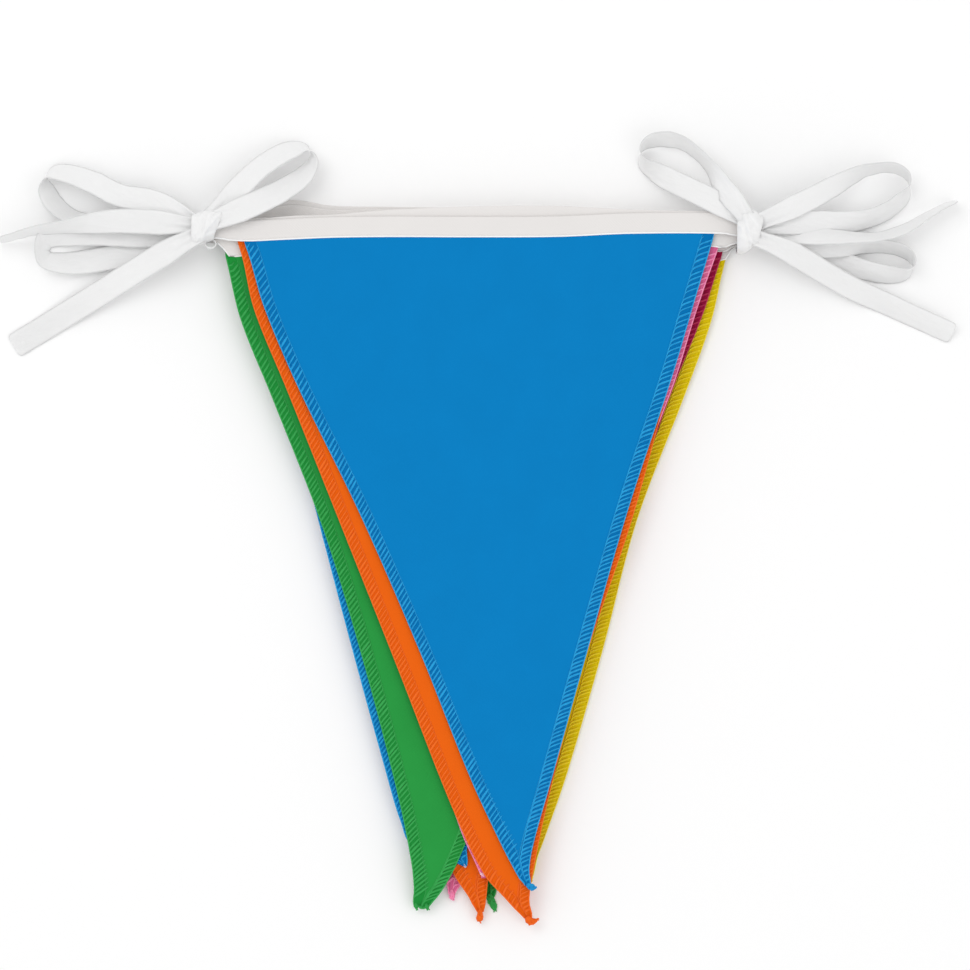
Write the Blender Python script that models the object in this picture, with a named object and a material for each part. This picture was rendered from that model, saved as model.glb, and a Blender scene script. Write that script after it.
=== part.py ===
"""Fabric bunting, folded up and tied for storage, lying on its back on a table.

Ten triangular pennants hang from one heading tape.  The tape is folded back and forth, one layer to a
pennant, so the pennants lie on each other like leaves.  A ribbon tied in a bow holds the folds together at
each end of the stack.

Frame: +X runs along the heading, +Y from the pennant tips to the heading, +Z up from the table.  The origin
is at the bottom centre of the whole.  Lengths in the tables are in millimetres.
"""
import math
from typing import NamedTuple

import bmesh
import bpy
from mathutils import Vector

MM = 0.001
DRAWING_Y = -1.1        # mm from the middle of the tables' drawing to the middle of the whole, along Y

# --- driving dimensions, mm -------------------------------------------------------------------------
CLOTH = 1.0             # thickness of one layer of cloth, tape or ribbon
GAP = 0.3               # space between neighbours
PITCH = CLOTH + GAP     # height of one layer in the stack
LAYERS = 10             # pennants, and layers of tape
TAPE_WIDTH = 8.6
RIBBON_WIDTH = 10.0
HEADING_Y = 127.4       # middle of the heading, above the origin
STACK_LIFT = PITCH      # the stack is raised this much where the ties pass under it
LIFT_FROM, LIFT_TO = 66.0, 106.0
GATHER_AT = (96.0, 101.0, 105.0, 108.0)     # extra places, from the middle, where the tape bends to its knots
FOLD_STEPS = 4          # straight facets round one fold of the tape

# --- knots, mm --------------------------------------------------------------------------------------
KNOT_TOP = 16.4
KNOT_WALL = 1.0         # thickness of the wrap under the stack
KNOT_ROUNDING = 2.2
POCKET_TOP = 14.8
CROWN_BOTTOM, CROWN_TOP = 15.2, 20.6
CROWN_ROUNDING = 1.9
PINCH = 1.7             # most that a layer may lie off the middle inside a knot


class Knot(NamedTuple):
    """A knot's middle, its half sizes, and how far its pocket for the folds reaches past the middle."""
    x: float
    y: float
    half_x: float
    half_y: float
    pocket_past: float


LEFT_KNOT = Knot(x=-115.5, y=127.8, half_x=5.1, half_y=7.8, pocket_past=1.4)
RIGHT_KNOT = Knot(x=116.4, y=126.8, half_x=5.6, half_y=9.2, pocket_past=1.5)

# --- the tape's layers, front to back ---------------------------------------------------------------
# How far each layer's middle lies above the heading line, at these places along it.
RISE_AT = (-105.0, -80.0, -20.0, 60.0, 105.0)


class Pennant(NamedTuple):
    """One pennant and its layer of tape.

    left, right: X of its top corners.  tip_x, tip_y: its point, tip_half: half the width of its blunt end.
    rise: the tape's height at RISE_AT.  bulge_left, bulge_right: how far each side lies outside a straight
    line from corner to tip, at the fractions STATIONS of the way down.  droop: how far the tip sinks below
    its layer, and droop_from: the Y below which it does.
    """
    name: str
    colour: str
    left: float
    right: float
    tip_x: float
    tip_y: float
    tip_half: float
    rise: tuple
    bulge_left: tuple
    bulge_right: tuple
    droop: float = 0.0
    droop_from: float = -150.0


STATIONS = (0.10, 0.22, 0.42, 0.63, 0.83, 0.93, 0.97)
ROWS = (0.0, 0.05, 0.10, 0.16, 0.22, 0.32, 0.42, 0.52, 0.63, 0.73, 0.83, 0.88, 0.93, 0.965, 1.0)
COLUMNS = (0.0, 0.03, 0.09, 0.17, 0.30, 0.50, 0.70, 0.83, 0.91, 0.97, 1.0)

PENNANTS = (
    Pennant("pennant_01_blue", "blue", -98.7, 100.9, 21.9, -153.4, 0.9,
            rise=(-1.5, -0.3, 1.8, 2.8, 2.8),
            bulge_left=(3.4, 3.8, 1.0, 1.0, 2.9, 2.1, 1.3),
            bulge_right=(-0.4, -0.9, -3.8, -4.2, -4.2, -4.2, -3.0)),
    Pennant("pennant_02_orange", "orange", -101.6, 98.5, 22.2, -167.0, 1.3,
            rise=(-1.4, -0.2, 1.9, 2.6, 2.2),
            bulge_left=(5.0, 5.6, 7.1, 8.8, 10.7, 9.2, 4.1),
            bulge_right=(0.1, -0.2, -1.3, -6.1, -6.2, -4.5, -3.1),
            droop=4.6, droop_from=-157.0),
    Pennant("pennant_03_pink", "pink", -91.3, 102.8, 3.6, -149.9, 0.8,
            rise=(-0.5, 0.3, 2.2, 2.4, -3.0),
            bulge_left=(1.3, 1.7, 1.7, 1.7, 1.8, 1.9, 0.6),
            bulge_right=(0.4, 2.1, 0.4, -1.7, -1.7, -0.9, -0.4)),
    Pennant("pennant_04_green", "green", -107.0, 90.8, -23.4, -160.4, 3.2,
            rise=(-6.0, -1.6, 2.0, 2.0, -2.0),
            bulge_left=(1.2, -2.6, -8.2, -9.0, -7.3, -4.8, -2.6),
            bulge_right=(0.0, 0.4, 0.9, 2.0, 4.3, 4.0, 2.3),
            droop=4.2, droop_from=-148.0),
    Pennant("pennant_05_blue", "blue", -96.4, 95.1, -3.8, -144.7, 0.8,
            rise=(-2.0, 0.8, 2.4, 2.6, 0.8),
            bulge_left=(3.4, 6.0, 10.6, 15.0, 18.6, 19.8, 17.5),
            bulge_right=(0.0, 0.0, -0.6, -1.3, -1.7, -3.4, -3.0)),
    Pennant("pennant_06_orange", "orange", -94.3, 97.7, 1.5, -166.2, 1.5,
            rise=(1.0, 5.6, 4.4, 3.6, 1.2),
            bulge_left=(0.9, 1.0, 1.3, 1.7, 3.0, 3.6, 2.1),
            bulge_right=(0.0, 0.0, -0.9, -1.7, -3.4, -4.2, -2.6),
            droop=2.4, droop_from=-153.0),
    Pennant("pennant_07_magenta", "magenta", -88.7, 104.9, 10.0, -146.4, 0.8,
            rise=(1.6, 6.2, 4.6, 3.2, -4.8),
            bulge_left=(0.4, 0.6, 0.6, 0.4, 0.3, 0.2, 0.0),
            bulge_right=(0.8, -0.6, -0.9, -1.7, -1.7, -1.3, -0.4)),
    Pennant("pennant_08_pink", "pink", -93.8, 100.2, -10.4, -157.9, 0.9,
            rise=(2.0, 7.6, 5.2, 4.2, 2.0),
            bulge_left=(0.6, 0.9, 0.9, 0.6, 0.2, -0.6, -0.8),
            bulge_right=(0.4, 0.4, 0.0, -0.4, 0.0, 0.3, 0.3),
            droop=1.0, droop_from=-148.0),
    Pennant("pennant_09_yellow", "yellow", -91.3, 106.2, 23.0, -149.8, 0.9,
            rise=(1.0, 6.6, 5.0, 3.0, -7.4),
            bulge_left=(0.4, 0.6, 0.9, 0.6, 0.3, 0.2, 0.0),
            bulge_right=(1.9, 0.4, -3.3, -0.7, 0.5, -0.4, -0.9)),
    Pennant("pennant_10_green", "green", -93.0, 96.8, 8.1, -162.6, 1.0,
            rise=(2.4, 8.4, 5.5, 4.9, 3.0),
            bulge_left=(0.4, 0.9, 1.3, 0.9, 0.4, 0.2, 0.4),
            bulge_right=(0.0, -0.4, -0.9, -0.9, -0.4, -1.1, -1.4)),
)


class Bend(NamedTuple):
    """A place that a ribbon runs through, from its knot's middle: x, y, the height z and the lean.

    lean is how far the ribbon is turned about its own run, in degrees: 0 and 180 lie flat, 90 stands on edge.
    """
    x: float
    y: float
    z: float
    lean: float


# Each ribbon starts and ends in its knot, or ends free, where the last row is its cut end.
LEFT_RIBBONS = {
    "outer_loop": (
        Bend(-3.0, 0.9, 13.6, 2), Bend(-12.8, 6.8, 13.2, 8), Bend(-23.4, 11.5, 12.0, 16),
        Bend(-36.2, 13.8, 10.5, 20), Bend(-48.1, 19.6, 9.0, 25), Bend(-57.4, 23.0, 7.8, 38),
        Bend(-64.3, 24.0, 6.8, 52), Bend(-68.5, 21.9, 6.4, 84), Bend(-68.3, 17.0, 5.6, 126),
        Bend(-65.3, 11.7, 4.8, 138), Bend(-58.3, 6.8, 4.6, 140), Bend(-48.9, 4.7, 5.2, 166),
        Bend(-36.2, 3.8, 7.4, 170), Bend(-23.4, 2.6, 10.0, 175), Bend(-10.6, 0.9, 11.5, 179),
        Bend(-3.0, 0.0, 12.0, 180)),
    "lower_loop": (
        Bend(-3.0, -0.9, 10.4, 1), Bend(-14.9, -3.0, 9.3, 4), Bend(-27.7, -4.7, 7.8, 10),
        Bend(-44.7, -4.9, 5.8, 36), Bend(-59.6, -5.3, 5.0, 48), Bend(-67.6, -7.2, 5.3, 70),
        Bend(-70.9, -10.4, 5.7, 92), Bend(-69.3, -14.2, 5.5, 116), Bend(-63.4, -15.4, 4.3, 138),
        Bend(-53.2, -14.9, 3.8, 147), Bend(-42.6, -13.8, 4.0, 152), Bend(-31.9, -11.1, 5.2, 162),
        Bend(-19.1, -6.8, 7.4, 173), Bend(-3.0, -1.7, 8.8, 179)),
    "inner_loop": (
        Bend(0.9, 3.4, 17.6, 178), Bend(8.5, 9.6, 17.2, 170), Bend(14.5, 16.8, 15.5, 160),
        Bend(22.1, 24.5, 13.0, 152), Bend(30.2, 30.4, 10.5, 148), Bend(37.0, 33.6, 8.8, 138),
        Bend(42.1, 34.5, 8.0, 112), Bend(45.0, 32.1, 7.6, 84), Bend(45.1, 27.7, 8.0, 56),
        Bend(40.8, 21.7, 9.6, 36), Bend(32.3, 15.7, 13.0, 22), Bend(24.3, 11.5, 16.0, 12),
        Bend(14.9, 7.2, 17.9, 5), Bend(2.1, 1.7, 19.1, 0)),
    "twisted_tail": (
        Bend(-3.0, 0.4, 15.2, 0), Bend(-12.8, 1.7, 15.0, -4), Bend(-23.4, 3.0, 14.5, -14),
        Bend(-36.2, 3.9, 13.6, -36), Bend(-48.9, 3.4, 12.2, -60), Bend(-59.6, 1.9, 10.2, -72),
        Bend(-72.3, -0.9, 7.8, -73), Bend(-83.0, -3.8, 6.3, -78), Bend(-89.4, -5.3, 5.5, -80)),
    "flat_tail": (
        Bend(-1.5, -3.0, 16.9, 0), Bend(-12.8, -8.9, 15.6, 3), Bend(-23.4, -14.9, 12.4, 6),
        Bend(-33.2, -20.8, 8.8, 5), Bend(-46.8, -28.9, 4.2, 3), Bend(-60.8, -37.4, 1.3, 0),
        Bend(-71.5, -44.0, 0.55, 0), Bend(-82.5, -50.5, 0.55, 0)),
}

RIGHT_RIBBONS = {
    "inner_loop": (
        Bend(-0.9, 3.4, 19.4, 179), Bend(-5.1, 9.4, 19.1, 174), Bend(-11.9, 18.3, 17.4, 146),
        Bend(-16.6, 26.0, 14.0, 118), Bend(-22.1, 32.3, 11.5, 113), Bend(-28.1, 37.0, 9.5, 118),
        Bend(-34.5, 38.9, 8.0, 127), Bend(-40.2, 38.6, 7.0, 124), Bend(-44.6, 36.4, 6.4, 112),
        Bend(-46.4, 32.6, 6.2, 88), Bend(-44.9, 28.6, 6.2, 62), Bend(-41.9, 26.3, 6.5, 46),
        Bend(-36.2, 22.8, 7.6, 22), Bend(-27.2, 18.1, 11.6, 10), Bend(-18.3, 13.6, 15.0, 4),
        Bend(-9.8, 8.9, 16.4, 1), Bend(-2.1, 3.8, 17.2, 0)),
    "outer_loop": (
        Bend(3.0, 2.6, 15.2, 2), Bend(14.9, 8.1, 14.6, 8), Bend(25.5, 13.2, 13.2, 18),
        Bend(35.7, 18.7, 11.0, 30), Bend(47.7, 24.9, 9.0, 58), Bend(55.7, 26.8, 7.8, 67),
        Bend(62.5, 26.5, 7.0, 68), Bend(67.0, 23.8, 6.4, 76), Bend(68.5, 19.6, 6.2, 92),
        Bend(66.4, 14.7, 6.0, 122), Bend(59.1, 8.7, 5.2, 135), Bend(51.3, 5.3, 5.0, 142),
        Bend(40.8, 3.6, 6.5, 160), Bend(26.4, 3.4, 10.2, 173), Bend(14.9, 2.6, 12.7, 178),
        Bend(3.0, 1.3, 13.6, 180)),
    "lower_loop": (
        Bend(3.0, -1.3, 10.4, 1), Bend(14.9, -4.7, 9.6, 4), Bend(27.7, -6.8, 8.2, 8),
        Bend(40.4, -6.8, 6.6, 40), Bend(53.2, -6.4, 5.6, 56), Bend(62.5, -7.4, 5.4, 60),
        Bend(68.5, -10.4, 5.4, 68), Bend(70.2, -14.7, 5.6, 88), Bend(66.9, -18.2, 5.2, 116),
        Bend(59.6, -18.5, 4.1, 138), Bend(50.2, -16.8, 3.8, 143), Bend(40.4, -14.0, 4.6, 155),
        Bend(27.7, -9.8, 6.4, 168), Bend(14.9, -5.5, 8.0, 176), Bend(3.0, -2.1, 8.8, 179)),
    "twisted_tail": (
        Bend(3.0, 0.0, 12.0, 0), Bend(14.9, -0.4, 11.1, -6), Bend(27.7, -2.1, 10.7, -33),
        Bend(42.6, -3.0, 10.9, -56), Bend(55.3, -2.6, 10.2, -65), Bend(64.7, 0.0, 9.2, -63),
        Bend(72.8, 4.5, 7.8, -70), Bend(81.3, 9.6, 6.3, -75), Bend(88.3, 12.8, 5.5, -80)),
    "flat_tail": (
        Bend(1.5, -3.2, 16.9, 0), Bend(14.9, -8.5, 15.2, -2), Bend(23.4, -13.0, 12.2, 4),
        Bend(33.6, -18.9, 8.3, 18), Bend(44.7, -24.7, 4.6, 12), Bend(57.4, -30.2, 1.8, 3),
        Bend(70.2, -36.2, 0.6, 0), Bend(86.3, -43.7, 0.55, 0)),
}
STEPS_PER_BEND = 3

# --- finishes: base colour and roughness ------------------------------------------------------------
FINISHES = {
    "blue": ((0.004, 0.215, 0.565), 0.75),
    "orange": ((0.855, 0.130, 0.010), 0.75),
    "pink": ((0.800, 0.170, 0.360), 0.75),
    "green": ((0.022, 0.320, 0.060), 0.75),
    "magenta": ((0.350, 0.010, 0.080), 0.75),
    "yellow": ((0.720, 0.560, 0.010), 0.75),
    "tape": ((0.780, 0.770, 0.755), 0.80),
    "ribbon": ((0.870, 0.870, 0.870), 0.55),
}


def clear_scene():
    """Remove what the new file came with."""
    for item in list(bpy.data.objects):
        bpy.data.objects.remove(item)


def finish(name):
    """The plain material of this name, made once."""
    found = bpy.data.materials.get(name)
    if found:
        return found
    colour, roughness = FINISHES[name]
    made = bpy.data.materials.new(name)
    made.use_nodes = True
    shader = made.node_tree.nodes["Principled BSDF"]
    shader.inputs["Base Color"].default_value = (*colour, 1.0)
    shader.inputs["Roughness"].default_value = roughness
    shader.inputs["Metallic"].default_value = 0.0
    return made


def add_object(name, shape, material):
    """Put a bmesh, drawn in millimetres, in the scene as an object in metres."""
    bmesh.ops.translate(shape, vec=(0.0, DRAWING_Y, 0.0), verts=shape.verts)
    bmesh.ops.scale(shape, vec=(MM, MM, MM), verts=shape.verts)
    bmesh.ops.recalc_face_normals(shape, faces=shape.faces)
    mesh = bpy.data.meshes.new(name)
    shape.to_mesh(mesh)
    shape.free()
    mesh.materials.append(finish(material))
    made = bpy.data.objects.new(name, mesh)
    bpy.context.scene.collection.objects.link(made)
    return made


def smooth_step(value):
    """0 below 0, 1 above 1, with a soft S between."""
    part = min(max(value, 0.0), 1.0)
    return part * part * (3.0 - 2.0 * part)


def curve_through(places, values, at):
    """Value at a place on the smooth curve through the given ones, level at both ends."""
    last = len(places) - 1
    slopes = [0.0] * len(places)
    for i in range(1, last):
        slopes[i] = (values[i + 1] - values[i - 1]) / (places[i + 1] - places[i - 1])
    at = min(max(at, places[0]), places[last])
    i = next(k for k in range(last) if at <= places[k + 1])
    span = places[i + 1] - places[i]
    t = (at - places[i]) / span
    return (values[i] * (2 * t ** 3 - 3 * t ** 2 + 1) + values[i + 1] * (3 * t ** 2 - 2 * t ** 3)
            + span * (slopes[i] * (t ** 3 - 2 * t ** 2 + t) + slopes[i + 1] * (t ** 3 - t ** 2)))


# --- the stack --------------------------------------------------------------------------------------
def layer_floor(index):
    """Height of the underside of a layer, counted from the front."""
    return (LAYERS - 1 - index) * PITCH


def lift(x):
    """How far the whole stack is raised towards its ties."""
    return STACK_LIFT * smooth_step((abs(x) - LIFT_FROM) / (LIFT_TO - LIFT_FROM))


def tape_middle(pennant, x):
    """Y of the middle of a layer of tape: fanned between the knots, gathered inside them."""
    places = (LEFT_KNOT.x + LEFT_KNOT.half_x, *RISE_AT, RIGHT_KNOT.x - RIGHT_KNOT.half_x)
    first, last = pennant.rise[0], pennant.rise[-1]
    pinched = [max(-PINCH, min(PINCH, 0.5 * end)) for end in (first, last)]
    rises = (pinched[0], *pennant.rise, pinched[1])
    return HEADING_Y + curve_through(places, rises, x)


def top_edge(pennant, x):
    """Y of a pennant's top edge, which runs just under its tape."""
    return tape_middle(pennant, x) - TAPE_WIDTH / 2 - GAP


def side_x(pennant, down, side):
    """X of a pennant's side at a fraction of the way down: side -1 is the left one, 1 the right."""
    corner = pennant.left if side < 0 else pennant.right
    bulges = pennant.bulge_left if side < 0 else pennant.bulge_right
    straight = corner + (pennant.tip_x + side * pennant.tip_half - corner) * down
    return straight + side * curve_through((0.0, *STATIONS, 1.0), (0.0, *bulges, 0.0), down)


def pennant_point(pennant, index, across, down):
    """Place of the underside of a pennant, from its fractions across and down."""
    left = side_x(pennant, down, -1)
    right = side_x(pennant, down, 1)
    x = left + (right - left) * across
    corners = top_edge(pennant, pennant.left), top_edge(pennant, pennant.right)
    level_top = corners[0] + (corners[1] - corners[0]) * across
    top_x = pennant.left + (pennant.right - pennant.left) * across
    y = level_top + (pennant.tip_y - level_top) * down
    y += (top_edge(pennant, top_x) - level_top) * (1.0 - down) ** 3
    z = layer_floor(index) + lift(x)
    if y < pennant.droop_from:
        z -= pennant.droop * ((pennant.droop_from - y) / (pennant.droop_from - pennant.tip_y)) ** 1.6
    return Vector((x, y, z))


def build_pennant(index, pennant):
    """A pennant: a thin sheet over a grid of its own rows and columns."""
    shape = bmesh.new()
    under = [[shape.verts.new(pennant_point(pennant, index, u, v)) for u in COLUMNS] for v in ROWS]
    over = [[shape.verts.new(corner.co + Vector((0, 0, CLOTH))) for corner in row] for row in under]
    rows, columns = len(ROWS), len(COLUMNS)
    for i in range(rows - 1):
        for j in range(columns - 1):
            shape.faces.new((under[i][j], under[i][j + 1], under[i + 1][j + 1], under[i + 1][j]))
            shape.faces.new((over[i][j], over[i + 1][j], over[i + 1][j + 1], over[i][j + 1]))
    rim = [(0, j) for j in range(columns)]
    rim += [(i, columns - 1) for i in range(1, rows)]
    rim += [(rows - 1, j) for j in range(columns - 2, -1, -1)]
    rim += [(i, 0) for i in range(rows - 2, 0, -1)]
    for (i, j), (k, m) in zip(rim, rim[1:] + rim[:1]):
        shape.faces.new((under[i][j], over[i][j], over[k][m], under[k][m]))
    return add_object(pennant.name, shape, pennant.colour)


def tape_path():
    """The middle of the folded tape from its front end to its back one, as (x, y, z) places.

    Each layer has a place over every column of its pennant, so that tape and pennant run side by side.
    """
    ends = (LEFT_KNOT.x - LEFT_KNOT.pocket_past + GAP + PITCH / 2 + CLOTH / 2,
            RIGHT_KNOT.x + RIGHT_KNOT.pocket_past - GAP - PITCH / 2 - CLOTH / 2)
    faces = LEFT_KNOT.x + LEFT_KNOT.half_x, RIGHT_KNOT.x - RIGHT_KNOT.half_x
    path = []
    for index, pennant in enumerate(PENNANTS):
        columns = [pennant.left + (pennant.right - pennant.left) * u for u in COLUMNS]
        before = [-x for x in reversed(GATHER_AT) if -x < columns[0] - CLOTH]
        after = [x for x in GATHER_AT if x > columns[-1] + CLOTH]
        along = [ends[0], faces[0], *before, *columns, *after, faces[1], ends[1]]
        if index % 2:
            along.reverse()
        middle = layer_floor(index) + CLOTH / 2
        path += [Vector((x, tape_middle(pennant, x), middle + lift(x))) for x in along]
        if index == LAYERS - 1:
            break
        turn_x, following = along[-1], PENNANTS[index + 1]
        outward = -1 if index % 2 else 1
        for step in range(1, FOLD_STEPS):
            angle = math.pi * step / FOLD_STEPS
            share = step / FOLD_STEPS
            y = tape_middle(pennant, turn_x) * (1 - share) + tape_middle(following, turn_x) * share
            x = turn_x + outward * math.sin(angle) * PITCH / 2
            z = middle - (1 - math.cos(angle)) * PITCH / 2 + lift(turn_x)
            path.append(Vector((x, y, z)))
    return path


def build_tape():
    """The heading tape: one strip, folded back and forth between the two knots."""
    path = tape_path()
    shape = bmesh.new()
    sections = []
    for i, place in enumerate(path):
        run = path[min(i + 1, len(path) - 1)] - path[max(i - 1, 0)]
        run.y = 0.0
        normal = Vector((-run.z, 0.0, run.x)).normalized()
        half = normal * CLOTH / 2
        edge = Vector((0.0, TAPE_WIDTH / 2, 0.0))
        corners = (place - half - edge, place + half - edge, place + half + edge, place - half + edge)
        sections.append([shape.verts.new(corner) for corner in corners])
    skin_sections(shape, sections)
    return add_object("heading_tape", shape, "tape")


def skin_sections(shape, sections):
    """Join four-cornered sections into one closed strip."""
    for first, second in zip(sections, sections[1:]):
        for k in range(4):
            m = (k + 1) % 4
            shape.faces.new((first[k], first[m], second[m], second[k]))
    shape.faces.new(sections[0][::-1])
    shape.faces.new(sections[-1])


# --- ties -------------------------------------------------------------------------------------------
def smooth_run(bends, steps):
    """Places and leans along the smooth curve through the bends, paced by the distance between them."""
    values = [(bend.x, bend.y, bend.z, bend.lean) for bend in bends]
    spans = [math.dist(a[:3], b[:3]) for a, b in zip(values, values[1:])]
    slopes = []
    for i in range(len(values)):
        before, after = max(i - 1, 0), min(i + 1, len(values) - 1)
        length = sum(spans[before:after])
        slopes.append([(b - a) / length for a, b in zip(values[before], values[after])])
    run = []
    for i, span in enumerate(spans):
        for step in range(steps):
            t = step / steps
            weights = (2 * t ** 3 - 3 * t ** 2 + 1, 3 * t ** 2 - 2 * t ** 3,
                       span * (t ** 3 - 2 * t ** 2 + t), span * (t ** 3 - t ** 2))
            parts = zip(values[i], values[i + 1], slopes[i], slopes[i + 1])
            run.append([sum(w * v for w, v in zip(weights, part)) for part in parts])
    run.append(list(values[-1]))
    return run


def build_ribbon(knot, bends):
    """A bmesh of one flat ribbon, leaning and bending through the places given."""
    run = smooth_run(bends, STEPS_PER_BEND)
    places = [Vector((knot.x + x, knot.y + y, z)) for x, y, z, _ in run]
    shape = bmesh.new()
    sections = []
    for i, place in enumerate(places):
        along = (places[min(i + 1, len(places) - 1)] - places[max(i - 1, 0)]).normalized()
        lean = math.radians(run[i][3])
        sideways = Vector((-along.y, along.x, 0.0)).normalized()
        width = sideways * math.cos(lean) + Vector((0, 0, 1)) * math.sin(lean)
        width = (width - along * width.dot(along)).normalized() * RIBBON_WIDTH / 2
        thick = along.cross(width).normalized() * CLOTH / 2
        place.z = max(place.z, abs(width.z) + abs(thick.z))
        corners = (place - width - thick, place + width - thick, place + width + thick, place - width + thick)
        sections.append([shape.verts.new(corner) for corner in corners])
    skin_sections(shape, sections)
    return shape


def rounded_block(low, high, rounding):
    """A bmesh box between two corners, with its edges rounded."""
    shape = bmesh.new()
    bmesh.ops.create_cube(shape, size=1.0)
    size = Vector(high) - Vector(low)
    bmesh.ops.scale(shape, vec=size, verts=shape.verts)
    bmesh.ops.translate(shape, vec=(Vector(low) + Vector(high)) / 2, verts=shape.verts)
    if rounding:
        bmesh.ops.bevel(shape, geom=shape.edges[:], offset=rounding, segments=3, profile=0.5,
                        affect="EDGES")
    return shape


def combine(target, tool, operation):
    """Join a tool to the target, or cut the target with it, and drop the tool."""
    modifier = target.modifiers.new("combine", "BOOLEAN")
    modifier.operation = operation
    modifier.solver = "EXACT"
    modifier.object = tool
    bpy.context.view_layer.update()
    evaluated = target.evaluated_get(bpy.context.evaluated_depsgraph_get())
    mesh = bpy.data.meshes.new_from_object(evaluated)
    target.modifiers.clear()
    target.data = mesh
    bpy.data.objects.remove(tool)


def build_tie(name, knot, ribbons, toward_flags):
    """A ribbon tied round the folded tape: a knot with a pocket for the folds, its loops and its tails."""
    low = (knot.x - knot.half_x, knot.y - knot.half_y, 0.0)
    high = (knot.x + knot.half_x, knot.y + knot.half_y, KNOT_TOP)
    tie = add_object(name, rounded_block(low, high, KNOT_ROUNDING), "ribbon")
    crown_low = (knot.x - 0.86 * knot.half_x, knot.y - 0.74 * knot.half_y, CROWN_BOTTOM)
    crown_high = (knot.x + 0.86 * knot.half_x, knot.y + 0.74 * knot.half_y, CROWN_TOP)
    combine(tie, add_object("crown", rounded_block(crown_low, crown_high, CROWN_ROUNDING), "ribbon"), "UNION")
    for label, bends in ribbons.items():
        combine(tie, add_object(label, build_ribbon(knot, bends), "ribbon"), "UNION")
    inner = knot.x - toward_flags * knot.pocket_past
    outer = knot.x + toward_flags * (knot.half_x + CLOTH)
    reach = TAPE_WIDTH / 2 + PINCH + GAP
    pocket_low = (min(inner, outer), HEADING_Y - reach, KNOT_WALL)
    pocket_high = (max(inner, outer), HEADING_Y + reach, POCKET_TOP)
    combine(tie, add_object("pocket", rounded_block(pocket_low, pocket_high, 0.0), "ribbon"), "DIFFERENCE")
    return tie


def main():
    """Build every piece of the bunting."""
    clear_scene()
    for index, pennant in enumerate(PENNANTS):
        build_pennant(index, pennant)
    build_tape()
    build_tie("tie_left", LEFT_KNOT, LEFT_RIBBONS, toward_flags=1)
    build_tie("tie_right", RIGHT_KNOT, RIGHT_RIBBONS, toward_flags=-1)


main()
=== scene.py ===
"""Dressed model of a fabric bunting, folded into a flat stack and tied at both ends with bows.

Ten triangular pennants hang from one heading tape.  The tape is folded back and forth, one layer
to a pennant, and a ribbon is tied round its folds at each end.  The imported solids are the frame:
every sheet here is the real cloth, tape or ribbon in the middle of its solid, and every thread is
sewn to it.

Lengths are in millimetres unless a line says metres, with +X along the heading, +Y from the tips
to the heading and +Z up from the table.  They are turned to metres where a mesh is made.
"""
import logging
import math
import random
from dataclasses import dataclass
from enum import Enum, IntEnum
from typing import Iterable, NamedTuple, Sequence

import bpy
from bpy.types import Material, Node, NodeSocket, NodeTree, Object
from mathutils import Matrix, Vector, noise


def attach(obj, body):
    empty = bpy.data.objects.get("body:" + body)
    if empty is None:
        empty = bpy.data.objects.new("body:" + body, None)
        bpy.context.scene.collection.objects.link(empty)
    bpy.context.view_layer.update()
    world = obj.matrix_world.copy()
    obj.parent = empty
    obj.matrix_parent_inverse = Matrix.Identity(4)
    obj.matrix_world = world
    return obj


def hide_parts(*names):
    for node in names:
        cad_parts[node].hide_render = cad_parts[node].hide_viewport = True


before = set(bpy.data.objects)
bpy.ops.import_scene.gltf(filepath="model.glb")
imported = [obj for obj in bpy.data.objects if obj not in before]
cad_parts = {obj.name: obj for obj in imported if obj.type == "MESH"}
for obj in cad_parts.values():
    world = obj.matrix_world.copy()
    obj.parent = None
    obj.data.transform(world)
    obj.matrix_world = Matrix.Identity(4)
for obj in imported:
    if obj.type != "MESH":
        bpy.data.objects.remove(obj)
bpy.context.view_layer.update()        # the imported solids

BODY = "root"
MM = 0.001
DRAWING_Y = -1.1            # from the middle of the tables' drawing to the middle of the whole
TABLE_GAP = 0.02            # what the lowest cloth keeps off the table
CLOTH_MAP = "cloth_mm"      # UV map: places along and across a piece's own cloth
# the shade attribute gives hem cloth its darker colour, partly painted shade between the stitches;
# on a thread it says how bleached it is
SHADE = "shade"             # attribute: how deep in its hem cloth lies, or how bleached a thread is
TAPE_PIECE = "heading_tape_cloth"
UP = Vector((0.0, 0.0, 1.0))
LOG = logging.getLogger("bunting")


# --- curves and places ----------------------------------------------------------------------------
def smooth_step(value: float) -> float:
    """An S-shaped ramp: 0 up to 0, 1 from 1 on, and a soft S between."""
    part = min(max(value, 0.0), 1.0)
    return part * part * (3.0 - 2.0 * part)


def hermite(first: float, second: float, leaving: float, arriving: float, span: float,
            t: float) -> float:
    """A smooth value at share t of the way over a span, from its end values and end slopes."""
    return (first * (2 * t ** 3 - 3 * t ** 2 + 1) + second * (3 * t ** 2 - 2 * t ** 3)
            + span * (leaving * (t ** 3 - 2 * t ** 2 + t) + arriving * (t ** 3 - t ** 2)))


def curve_through(places: Sequence[float], values: Sequence[float], at: float) -> float:
    """A smooth curve through given points, level at both ends.

    Args:
        places: the points' places, rising.
        values: the curve's value at each place.
        at: the place to read.

    Returns:
        The curve's value there.
    """
    last = len(places) - 1
    slopes = [0.0] * len(places)
    for i in range(1, last):
        slopes[i] = (values[i + 1] - values[i - 1]) / (places[i + 1] - places[i - 1])
    at = min(max(at, places[0]), places[last])
    i = next(k for k in range(last) if at <= places[k + 1])
    span = places[i + 1] - places[i]
    return hermite(*values[i:i + 2], *slopes[i:i + 2], span, (at - places[i]) / span)


def direction(path: Sequence[Vector], at: int) -> Vector:
    """Which way a path runs at one of its places."""
    return (path[min(at + 1, len(path) - 1)] - path[max(at - 1, 0)]).normalized()


def from_side_to_side(count: int) -> list[float]:
    """So many even places from -1 at one side to 1 at the other."""
    return [2 * k / (count - 1) - 1 for k in range(count)]


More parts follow.
